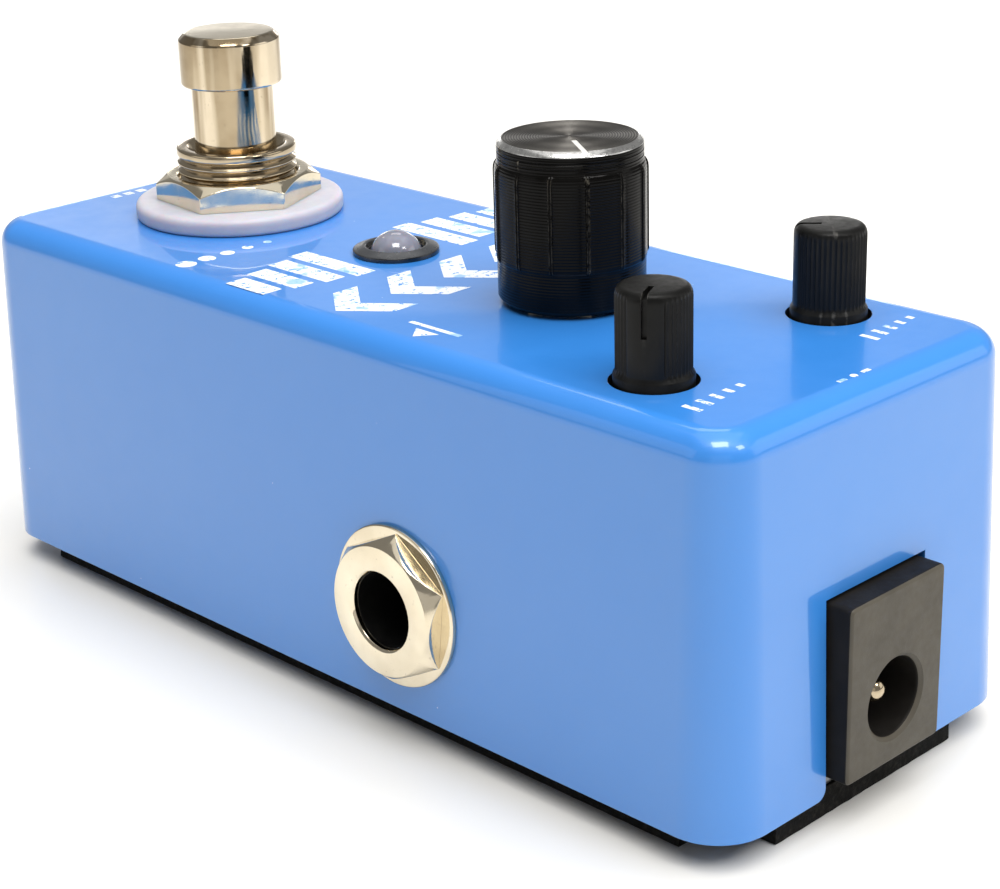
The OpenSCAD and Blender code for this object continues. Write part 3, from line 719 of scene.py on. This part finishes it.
def inlet_slot(half_l, rim):
    """Slot for the power inlet, open at the rim, with its lower corners rounded off."""
    low, high = span("dc_housing")
    gap, flare = 0.3, 1.0
    x0, x1, z1 = low.x - gap, high.x + gap, high.z + gap
    arc = [math.radians(9 * i) for i in range(11)]
    outline = [(x0 - flare, rim - 1), (x1 + flare, rim - 1)]
    outline += [(x1 + flare - flare * math.sin(a), rim + flare - flare * math.cos(a)) for a in arc]
    outline += [(x1, z1), (x0, z1)]
    outline += [
        (x0 - flare + flare * math.cos(a), rim + flare - flare * math.sin(a)) for a in arc
    ]
    shape = prism(outline, 0, 6)
    place = Matrix.Translation((0, half_l + 2, 0)) @ Matrix.Rotation(math.pi / 2, 4, "X")
    return make("slot", shape, place)


# ---------- footswitch ----------

SWITCH_NUT_AF = 13.5


def make_switch_cap():
    low, high = span("switch_cap")
    centre = middle("switch_cap")
    stem, wide, cap_t = 3.83, high.x, 4.8
    under = high.z - cap_t
    collar_top = high.z - 17.25
    profile = rounded(
        [
            (0, low.z, 0),
            (1.4, low.z, 0.25),
            (1.4, collar_top - 1.4, 0),
            (4.33, collar_top - 1.4, 0.1),
            (4.33, collar_top, 0.1),
            (stem, collar_top, 0),
            (stem, under, 0.12),
            (wide - 0.12, under, 0.08),
            (wide, under + 0.18, 0.1),
            (wide, high.z - 0.62, 0.16),
            (wide - 0.6, high.z, 0.2),
            (0, high.z, 0),
        ],
        0.1,
        5,
    )
    obj = make("footswitch_cap", lathe(profile, 128), upright(centre))
    dressed(obj, "footswitch", ["switch_cap"], [NICKEL_TURNED_REFLECTIONS, NICKEL_NUT], 40)
    paint_faces(obj, 1, lambda p, n: n.z > 0.9)


def make_switch_bush():
    low, high = span("switch_bush")
    centre = middle("switch_bush")
    outer, pitch, depth, cover_t = 5.6, 0.8, 0.42, 0.9
    start = low.z + cover_t + 0.3
    profile = [(3.89, low.z), (outer, low.z), (outer, start)]
    turns = int((high.z - 0.2 - start) / pitch)
    for i in range(turns):
        z = start + i * pitch
        profile += [
            (outer, z + 0.05),
            (outer - 0.03, z + 0.09),
            (outer - depth + 0.03, z + pitch / 2 - 0.05),
            (outer - depth, z + pitch / 2),
            (outer - depth + 0.03, z + pitch / 2 + 0.05),
            (outer - 0.03, z + pitch - 0.09),
        ]
    profile += [
        (outer, start + turns * pitch + 0.03),
        (outer, high.z - 0.2),
        (outer - 0.06, high.z - 0.06),
        (outer - 0.2, high.z),
        (4.72, high.z),
        (4.6, high.z - 0.05),
        (4.13, high.z - 1.1),
        (3.89, high.z - 1.1),
    ]
    tube = make("bush", lathe(profile, 112, closed=True), upright(centre))
    plate = make("plate", block((low.x, low.y, low.z), (high.x, high.y, low.z + cover_t)))
    bevel(plate, 0.15, 2)
    carve(plate, cylinder("hole", centre.x, centre.y, low.z - 1, low.z + 3, 5.3))
    carve(plate, tube, operation="UNION")
    plate.name = "footswitch_bush"
    return dressed(plate, "chassis", ["switch_bush"], [NICKEL_SHADED], 50)


def hex_nut(name, af, bore, thick, turn, spread):
    """A hexagonal nut whose corners are cut back by a cone, local Z through the bore."""
    corner = af / math.sqrt(3)
    angles = [math.radians(turn + 60 * i) for i in range(6)]
    hexagon = [(corner * math.cos(a), corner * math.sin(a)) for a in angles]
    nut = make(name, prism(hexagon, 0, thick))
    face = af / 2 - 0.15
    cone = [(0, -0.01), (face + spread, -0.01), (face, thick), (0, thick)]
    carve(nut, make("cone", lathe(cone, 144)), operation="INTERSECT")
    chamfer = 0.2
    hole = [
        (0, -1),
        (bore, -1),
        (bore, thick - chamfer),
        (bore + chamfer, thick),
        (bore + chamfer + 1, thick + 1),
        (0, thick + 1),
    ]
    carve(nut, make("bore", lathe(hole, 96)))
    return nut


def placed(obj, matrix):
    scaled = Matrix.Diagonal((MM, MM, MM, 1)) @ matrix @ Matrix.Diagonal((1 / MM, 1 / MM, 1 / MM, 1))
    obj.data.transform(scaled)
    return obj


def make_switch_nut():
    low, high = span("switch_nut")
    centre = middle("switch_nut")
    nut = hex_nut("footswitch_nut", SWITCH_NUT_AF, 5.62, high.z - low.z, 24, 3.2)
    placed(nut, Matrix.Translation((centre.x, centre.y, low.z)))
    bevel(nut, 0.07, 2, 28)
    return dressed(nut, "chassis", ["switch_nut"], [NICKEL_NUT], 30, flat_first=True)


def make_switch_washer():
    low, high = span("switch_washer")
    centre = middle("switch_washer")
    profile = rounded(
        [
            (5.75, low.z, 0.1),
            (high.x, low.z, 0.45),
            (high.x, high.z, 0.75),
            (5.75, high.z, 0.15),
        ],
        0.2,
        7,
        closed=True,
    )
    obj = make("footswitch_washer", lathe(profile, 128, closed=True), upright(centre))
    return dressed(obj, "chassis", ["switch_washer"], [NYLON], 45)


# ---------- jacks ----------

JACK_NUT_AF = 11.4
JACK_NUT_T = 1.5
NOSE_R = 4.42


def make_jack_hardware(prefix, turn):
    place = jack_frame(f"{prefix}_washer")
    inner, outer, face = 4.5, 6.95, JACK_WASHER_T
    washer = rounded(
        [(inner, 0, 0.08), (outer, 0, 0.1), (outer, face, 0.2), (inner, face, 0.1)],
        0.1,
        4,
        closed=True,
    )
    obj = make(f"{prefix}_dress_washer", lathe(washer, 128, closed=True), place)
    dressed(obj, "chassis", [f"{prefix}_washer"], [NICKEL_NUT], 40)
    nut = hex_nut(f"{prefix}_dress_nut", JACK_NUT_AF, 3.3, JACK_NUT_T, turn, 1.1)
    under_lip = JACK_NUT_T - 0.6
    recess = lathe([(0, -1), (NOSE_R, -1), (NOSE_R, under_lip), (0, under_lip)], 96)
    carve(nut, make("recess", recess))
    placed(nut, place @ Matrix.Translation((0, 0, JACK_WASHER_T)))
    bevel(nut, 0.06, 2, 28)
    dressed(nut, "chassis", [f"{prefix}_nut"], [NICKEL_NUT], 30, flat_first=True)


# ---------- power inlet ----------

PIN_HOLE_R = 1.06
TAIL_PITCH = 3
TAIL_W = 1.1


def make_inlet():
    low, high = span("dc_housing")
    pin = middle("dc_pin")
    corners = [(low.x, low.z), (high.x, low.z), (high.x, high.z), (low.x, high.z)]
    outline = rounded([(x, z, 0.55) for x, z in corners], 0.55, 5, closed=True)
    forward = Matrix.Translation((0, high.y, 0)) @ Matrix.Rotation(math.pi / 2, 4, "X")
    body = make("inlet_housing", prism(outline, 0, high.y - low.y), forward)
    bevel(body, 0.3, 4, 40, lambda p: p.y > high.y - 0.05)
    into = Matrix.Translation((pin.x, high.y, pin.z)) @ Matrix.Rotation(math.pi / 2, 4, "X")
    mouth = rounded(
        [
            (0, 9.5, 0),
            (3.2, 9.5, 0.1),
            (3.2, 0.3, 0.3),
            (3.6, 0, 0.2),
            (3.9, -0.5, 0),
            (0, -0.5, 0),
        ],
        0.1,
        5,
    )
    carve(body, make("mouth", lathe(mouth, 96), into))
    pin_hole = lathe([(0, 5), (PIN_HOLE_R, 5), (PIN_HOLE_R, 20), (0, 20)], 32)
    carve(body, make("pin_hole", pin_hole, into))
    for x in (-TAIL_PITCH, 0, TAIL_PITCH):
        corner = Vector((pin.x + x - TAIL_W / 2, low.y + 1.45, high.z - 2))
        carve(body, make("tail_hole", block(corner, corner + Vector((TAIL_W, TAIL_W, 3)))))
    looks = [INLET, INLET_SHADE]
    dressed(body, "chassis", ["dc_housing"], looks, 35, flat_first=True)
    # Faces that don't look out of the slot get the near-black copy as painted shade.
    paint_faces(body, 1, lambda p, n: n.y < 0.55)
    pin_low, pin_high = span("dc_pin")
    radius = (pin_high.x - pin_low.x) / 2
    length = pin_high.y - pin_low.y
    profile = [
        (radius * math.sin(math.radians(6 * i)), radius * (1 - math.cos(math.radians(6 * i))))
        for i in range(16)
    ]
    profile += [(radius, length - 0.3), (radius - 0.2, length), (0, length)]
    into = Matrix.Translation((pin.x, pin_high.y, pin.z)) @ Matrix.Rotation(math.pi / 2, 4, "X")
    obj = make("inlet_pin", lathe(profile, 64), into)
    dressed(obj, "chassis", ["dc_pin"], [NICKEL_SHADED], 40)


# ---------- large knob ----------

RIDGE = (
    (-1.0, 0.55),
    (-0.975, 0.6),
    (-0.95, 1.0),
    (-0.905, 1.0),
    (-0.865, 0.25),
    (-0.8, 0.02),
    (-0.6, 0.0),
    (-0.3, -0.06),
    (0.0, -0.08),
    (0.3, -0.06),
    (0.6, 0.0),
    (0.8, 0.02),
    (0.865, 0.25),
    (0.905, 1.0),
    (0.95, 1.0),
    (0.975, 0.6),
)
FLUTES = 13
POINTS_TO = 56


def make_main_knob():
    low, high = span("main_knob")
    centre = middle("main_knob")
    z0, z1 = low.z, high.z
    outer = (high.x - low.x) / 2
    band, fluted, collar, disc = 6.1, 6.19, 5.97, 5.56
    ridge = outer - fluted
    foot, head = z0 + 3.5, z1 - 1.9
    groove = 0.1
    levels = [
        (0, z1 - 2.6, 0),
        (3.02, z1 - 2.6, 0),
        (3.02, z0 + 3.4, 0),
        (5.4, z0 + 3.4, 0),
        (5.4, z0 + 0.1, 0),
        (5.5, z0, 0),
        (5.72, z0, 0),
        (5.82, z0 + 0.05, 0),
        (6.06, z0 + 0.36, 0),
        (band, z0 + 0.46, 0),
        (band, foot - 0.5, 0),
        (band, foot - 0.06, 0),
        (band + 0.02, foot, 0.1),
        (fluted - 0.03, foot + 0.08, 0.5),
        (fluted, foot + 0.3, 0.95),
        (fluted, foot + 0.5, 1),
        (fluted, head - 0.85, 1),
        (fluted - 0.02, head - 0.55, 0.95),
        (fluted - 0.07, head - 0.3, 0.8),
        (fluted - 0.13, head - 0.12, 0.5),
        (collar + 0.02, head, 0.1),
        (collar, head + 0.06, 0),
        (collar, head + 0.4, 0),
        (collar - 0.05, head + 0.45, 0),
        (collar - 0.05, head + 0.52, 0),
        (collar, head + 0.57, 0),
        (collar, head + 0.86, 0),
        (collar - 0.05, head + 0.91, 0),
        (collar - 0.05, head + 0.98, 0),
        (collar, head + 1.03, 0),
        (collar, z1 - 0.44, 0),
        (collar - 0.02, z1 - 0.39, 0),
        (disc + 0.03, z1 - 0.03, 0),
        (disc - 0.03, z1, 0),
        (disc - 0.12, z1, 0),
    ]
    radius = disc - 0.22
    while radius > 0.35:
        levels += [(radius, z1 - 0.012, 0), (radius - 0.09, z1, 0)]
        radius -= 0.2
    levels.append((0, z1, 0))
    turns = [
        (2 * math.pi * (sector + (u + 1) / 2) / FLUTES, ridge * height)
        for sector in range(FLUTES)
        for u, height in RIDGE
    ]
    place = upright(centre, POINTS_TO)
    obj = make("main_control_knob", relief_lathe(levels, turns), place)
    carve(obj, make("pointer", block((1.3, -0.26, z1 - groove), (6.5, 0.26, z1 + 1)), place))
    screw = place @ Matrix.Translation((0, 0, z0 + 7.2)) @ Matrix.Rotation(-math.pi / 2, 4, "Y")
    hole = [(0, 1), (1.55, 1), (1.55, 12), (0, 12)]
    carve(obj, make("screw_hole", lathe(hole, 40), screw))
    dressed(
        obj,
        "main_control",
        ["main_knob"],
        [knob_black(), knob_disc(centre), knob_bright(), POINTER_WHITE],
        28,
    )

    def radius_of(p):
        return math.hypot(p.x - centre.x, p.y - centre.y)

    paint_faces(obj, 1, lambda p, n: p.z > z1 - 0.05 and radius_of(p) < disc - 0.02)
    paint_faces(obj, 2, lambda p, n: p.z > z1 - 0.42 and radius_of(p) > disc - 0.03)
    paint_faces(obj, 3, lambda p, n: abs(p.z - z1 + groove) < 0.004 and n.z > 0.99)
    return obj


# ---------- small knobs ----------

RIBS = 44
RIB = (0.0, -0.09, -0.13, -0.09)
PLAIN_SECTOR = 30


def make_trim_knob(side, points_to):
    low, high = span(f"{side}_trim_knob")
    centre = middle(f"{side}_trim_knob")
    top = high.z
    foot_r = (high.x - low.x) / 2
    body_r = foot_r - 0.2
    enclosure_top = span("enclosure")[1].z
    band = enclosure_top + 0.7
    stub_top = low.z + 3.0
    steps = RIBS * len(RIB)
    levels = [
        (0, low.z, 0),
        (1.5, low.z, 0),
        (1.5, stub_top, 0),
        (foot_r - 0.1, stub_top, 0),
        (foot_r, stub_top + 0.1, 0),
        (foot_r, band - 0.2, 0),
        (foot_r - 0.05, band - 0.08, 0),
        (body_r, band + 0.12, 0.0),
        (body_r, band + 0.3, 0.7),
        (body_r, band + 0.5, 1),
        (body_r, top - 0.95, 1),
        (body_r - 0.01, top - 0.7, 0.8),
        (body_r - 0.06, top - 0.45, 0.2),
        (body_r - 0.16, top - 0.24, 0),
        (body_r - 0.33, top - 0.09, 0),
        (body_r - 0.52, top - 0.02, 0),
        (body_r - 0.75, top, 0),
        (0, top, 0),
    ]
    turns = []
    for i in range(steps):
        angle = 360 * i / steps
        ribbed = min(angle, 360 - angle) > PLAIN_SECTOR
        turns.append((math.radians(angle), RIB[i % len(RIB)] if ribbed else 0.0))
    place = upright(centre, points_to)
    obj = make(f"{side}_control_knob", relief_lathe(levels, turns), place)
    carve(obj, make("slot", block((0.7, -0.22, top - 0.5), (4, 0.22, top + 1)), place))
    down = block((body_r - 0.32, -0.22, top - 3.4), (4, 0.22, top + 1))
    carve(obj, make("slot", down, place))
    return dressed(
        obj, f"{side}_control", [f"{side}_trim_knob"], [TRIM_BLACK], 42
    )


# ---------- lamp ----------


def make_lamp():
    low, high = span("led_lens")
    centre = middle("led_lens")
    radius = (high.x - low.x) / 2
    profile = [(0, low.z), (radius - 0.1, low.z), (radius, low.z + 0.1), (radius, high.z - radius)]
    for i in range(1, 25):
        angle = math.radians(90 * i / 24)
        profile.append((radius * math.cos(angle), high.z - radius + radius * math.sin(angle)))
    profile[-1] = (0, high.z)
    place = upright(centre)
    obj = make("lamp_lens", lathe(profile, 96), place)
    dressed(obj, "chassis", ["led_lens"], [LENS], 50)
    low, high = span("led_bezel")
    wide = (high.x - low.x) / 2
    floor = span("enclosure")[1].z
    outline = rounded(
        [
            (2.44, low.z, 0.05),
            (3.0, low.z, 0.1),
            (3.0, floor, 0),
            (wide, floor, 0.06),
            (wide, floor + 0.42, 0.12),
            (wide - 0.2, floor + 0.5, 0.1),
            (2.9, high.z, 0.2),
            (2.7, high.z - 0.03, 0.08),
            (2.5, high.z - 0.45, 0.05),
            (2.44, high.z - 0.45, 0),
        ],
        0.05,
        4,
        closed=True,
    )
    obj = make("lamp_bezel", lathe(outline, 112, closed=True), place)
    dressed(obj, "chassis", ["led_bezel"], [BEZEL_PLASTIC, BEZEL_TOP_SHEEN], 45)
    # Upward faces of the bezel rim get the lighter grey as painted sheen.
    paint_faces(obj, 1, lambda p, n: n.z > 0.5 and p.z > floor + 0.3)


# ---------- base pad ----------


def make_pad():
    high = span("base_pad")[1]
    half_w, half_l, thick, notch = high.x, high.y, high.z, 5.2
    corners = [
        (half_w, half_l - notch),
        (half_w - notch, half_l - notch),
        (half_w - notch, half_l),
    ]
    outline = list(corners)
    outline += [(-x, y) for x, y in reversed(corners)]
    outline += [(-x, -y) for x, y in corners]
    outline += [(x, -y) for x, y in reversed(corners)]
    fine = []
    for i, here in enumerate(outline):
        after = outline[(i + 1) % len(outline)]
        length = math.dist(here, after)
        count = max(1, round(length / 0.7))
        for k in range(count):
            fine.append(Vector(here).lerp(Vector(after), k / count))
    loops = []
    levels = [(0.3, 0.0), (0.12, 0.06), (0.05, 0.2)]
    levels += [(0.1, thick * 0.5), (0.05, thick - 0.15), (0.1, thick)]
    for inset, z in levels:
        loop = []
        for p in fine:
            rough = 0.05 + 0.05 * noise.noise(Vector((p.x * 1.3, p.y * 1.3, z * 1.5)))
            scale_x = 1 - (inset + rough) / half_w
            scale_y = 1 - (inset + rough) / half_l
            loop.append((p.x * scale_x, p.y * scale_y, z))
        loops.append(loop)
    obj = make("base_rubber_pad", stack(loops))
    return dressed(obj, "chassis", ["base_pad"], [RUBBER], 40)


# ---------- printed graphics ----------


def chevron(x, y, width, height, stroke):
    """An arrow head pointing to +X."""
    return [
        (x, y),
        (x + stroke, y),
        (x + width, y + height / 2),
        (x + stroke, y + height),
        (x, y + height),
        (x + width - stroke, y + height / 2),
    ]


def bar(x, y, width, height, lean=0.0):
    return [(x, y), (x + width, y), (x + width + lean, y + height), (x + lean, y + height)]


def dot(x, y, radius, count=20):
    angles = [2 * math.pi * i / count for i in range(count)]
    return [(x + radius * math.cos(a), y + radius * math.sin(a)) for a in angles]


def make_print():
    """Stripes, fading pulses and small marks in worn white ink on the top face."""
    top = span("enclosure")[1].z
    lamp, knob = middle("led_lens"), middle("main_knob")
    switch = middle("switch_cap")
    shapes = []
    for i in range(5):
        shapes.append(chevron(-15.2 + 6.1 * i, lamp.y + 5.2, 5.7, 7.6, 2.7))
    for side in (-1, 1):
        for i, height in enumerate((9.2, 7.8, 6.4, 5.0)):
            x = side * (6.2 + 2.9 * i)
            shapes.append(bar(x - 1.05, lamp.y - 1.6 - height / 2, 2.1, height))
    for i in range(5):
        shapes.append(dot(14.6 - 2.3 * i, switch.y + 10.6, 0.95 - 0.14 * i))
    jack = middle("input_washer")
    shapes.append(bar(12.6, jack.y - 2.9, 0.5, 5.8))
    shapes.append([(13.7, jack.y - 1.3), (15.3, jack.y), (13.7, jack.y + 1.3)])
    for side in ("left", "right"):
        trim = middle(f"{side}_trim_knob")
        for i in range(5):
            size = 0.3 + 0.12 * i
            shapes.append(bar(trim.x - 3.4 + 1.5 * i, trim.y + 5.3, 0.5, size * 2.2))
    inlet = middle("dc_housing")
    shapes.append(dot(inlet.x, knob.y + 28.8, 0.32))
    shapes.append(bar(inlet.x - 1.9, knob.y + 28.6, 0.9, 0.4))
    shapes.append(bar(inlet.x + 1.0, knob.y + 28.6, 0.9, 0.4))
    for i in range(3):
        shapes.append(bar(1.2 + 1.5 * i, switch.y - 14.1, 0.9, 0.9))
    obj = make(
        "printed_marks", joined(*[prism(outline, top - 0.01, top + 0.012) for outline in shapes])
    )
    return dressed(obj, "chassis", [], [ink()], 30)


# ---------- carried-over CAD nodes ----------


def dress_cad():
    spring = steel("spring_steel", srgb(170, 170, 172), 0.22)
    brass = steel("contact_brass", srgb(200, 168, 96), 0.25)
    plate = steel("plate_steel", srgb(150, 150, 152), 0.34, (0.05, 1, 1))
    dark = steel("dark_steel", srgb(52, 51, 50), 0.35)
    can = steel("can_steel", srgb(168, 166, 160), 0.28)
    green = board("board_green")
    blue = plastic("switch_blue", srgb(22, 62, 150), 0.36).material
    relay = plastic("relay_plastic", srgb(228, 226, 216), 0.42).material
    sleeve = plastic("sleeve_plastic", srgb(20, 26, 60), 0.3).material
    film = plastic("film_plastic", srgb(150, 34, 26), 0.34).material
    ceramic = plastic("resistor_ceramic", srgb(190, 160, 116), 0.5).material
    looks = {
        "base_plate": plate,
        "base_screws": dark,
        "switch_lock_washer": NICKEL_SHADED,
        "switch_lower_nut": NICKEL_NUT,
        "switch_housing": blue,
        "switch_spring": spring,
        "switch_bridge": brass,
        "switch_lugs": brass,
        "switch_board": green,
        "board_header": BLACK_PLASTIC,
        "input_jack_body": BLACK_PLASTIC,
        "input_jack_contacts": NICKEL_SHADED,
        "output_jack_body": BLACK_PLASTIC,
        "output_jack_contacts": NICKEL_SHADED,
        "dc_contacts": NICKEL_SHADED,
        "knob_screw": dark,
        "main_pot_shaft": NICKEL_TURNED_REFLECTIONS,
        "main_pot_bush": NICKEL_SHADED,
        "main_pot_nut": NICKEL_NUT,
        "main_pot_body": can,
        "main_pot_wiper": brass,
        "left_trim_pot": can,
        "left_trim_wiper": brass,
        "right_trim_pot": can,
        "right_trim_wiper": brass,
        "led_leads": spring,
        "main_board": green,
        "bypass_relay": relay,
        "effect_chips": BLACK_PLASTIC,
        "electrolytic_capacitors": sleeve,
        "film_capacitors": film,
        "resistors": ceramic,
        "voltage_regulator": BLACK_PLASTIC,
    }
    for node, material in looks.items():
        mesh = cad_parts[node].data
        for i in range(len(mesh.materials)):
            mesh.materials[i] = material
        if not mesh.materials:
            mesh.materials.append(material)


# ---------- studio ----------

CAMERA_SIDE = 47.0
FLOOR_REACH = 4000


def from_pedal(turn, elevation):
    """Direction away from the pedal; turn is from the camera's side, to its right."""
    a, e = math.radians(CAMERA_SIDE + turn), math.radians(elevation)
    return Vector((math.cos(a) * math.cos(e), math.sin(a) * math.cos(e), math.sin(e)))


def aimed(obj, away, distance):
    obj.location = away * distance + Vector((0, 0, 0.02))
    obj.rotation_euler = away.to_track_quat("Z", "Y").to_euler()
    bpy.context.scene.collection.objects.link(obj)
    obj.visible_camera = False


def softbox(name, turn, elevation, distance, width, height, radiance, shine_only=False):
    """A rectangular light aimed at the pedal; shine_only leaves it to reflections."""
    data = bpy.data.lights.new(name, "AREA")
    data.shape = "RECTANGLE"
    data.size, data.size_y = width, height
    data.energy = math.pi * width * height * radiance
    data.color = (1, 0.985, 0.96)
    light = bpy.data.objects.new(name, data)
    aimed(light, from_pedal(turn, elevation), distance)
    light.visible_diffuse = not shine_only


def skylight(turn, elevation, spread, brightness):
    """A broad even light from far away, which adds brightness to a white floor."""
    data = bpy.data.lights.new("skylight", "SUN")
    data.angle = math.radians(spread)
    data.energy = math.pi * brightness / math.sin(math.radians(elevation))
    light = bpy.data.objects.new("skylight", data)
    aimed(light, from_pedal(turn, elevation), 2)
    light.visible_glossy = False


def make_studio():
    world = bpy.data.worlds.new("studio")
    bpy.context.scene.world = world
    world.use_nodes = True
    background = world.node_tree.nodes["Background"]
    background.inputs["Color"].default_value = (1.0, 0.99, 0.975, 1)
    background.inputs["Strength"].default_value = 0.23
    skylight(55, 80, 80, 1.5)
    for light in (
        ("front", -3, 14, 1.0, 0.7, 0.5, 0.3, True),
        ("side_left", -75, 20, 1.0, 0.6, 0.5, 0.6, True),
        ("side_right", 85, 20, 1.0, 0.6, 0.5, 0.9),
        ("ceiling", 0, 89, 1.1, 1.2, 1.2, 0.55, True),
        ("rear", 180, 13, 1.0, 1.1, 0.2, 0.3, True),
        ("rear_low", 180, 7, 1.0, 0.62, 0.16, 0.5, True),
        ("rear_left", 192, 7, 0.98, 0.12, 0.14, 2.6, True),
        ("rear_right", 168, 7, 0.98, 0.12, 0.14, 2.6, True),
        ("rear_top", 180, 50, 1.0, 0.4, 0.24, 1.8, True),
        ("window_top", 0, 66, 0.9, 0.4, 0.3, 10, True),
        ("window_side", 50, 44, 0.9, 0.2, 0.2, 9),
    ):
        softbox(*light)
    floor = make("floor", block((-FLOOR_REACH, -FLOOR_REACH, -20), (FLOOR_REACH, FLOOR_REACH, 0)))
    f = Finish("floor", (0.78, 0.765, 0.73, 1), roughness=0.3)
    f.tint(f.ramp(f.noise(60), 0.3, 0.7, 0.0, 0.3), (0.81, 0.795, 0.76, 1))
    floor.data.materials.append(f.material)
    bpy.context.scene.view_settings.view_transform = "Standard"


make_enclosure()
make_switch_cap()
make_switch_bush()
make_switch_nut()
make_switch_washer()
make_jack_hardware("input", 55)
make_jack_hardware("output", 0)
make_inlet()
make_main_knob()
make_trim_knob("left", -50)
make_trim_knob("right", 27)
make_lamp()
make_pad()
make_print()
dress_cad()
make_studio()
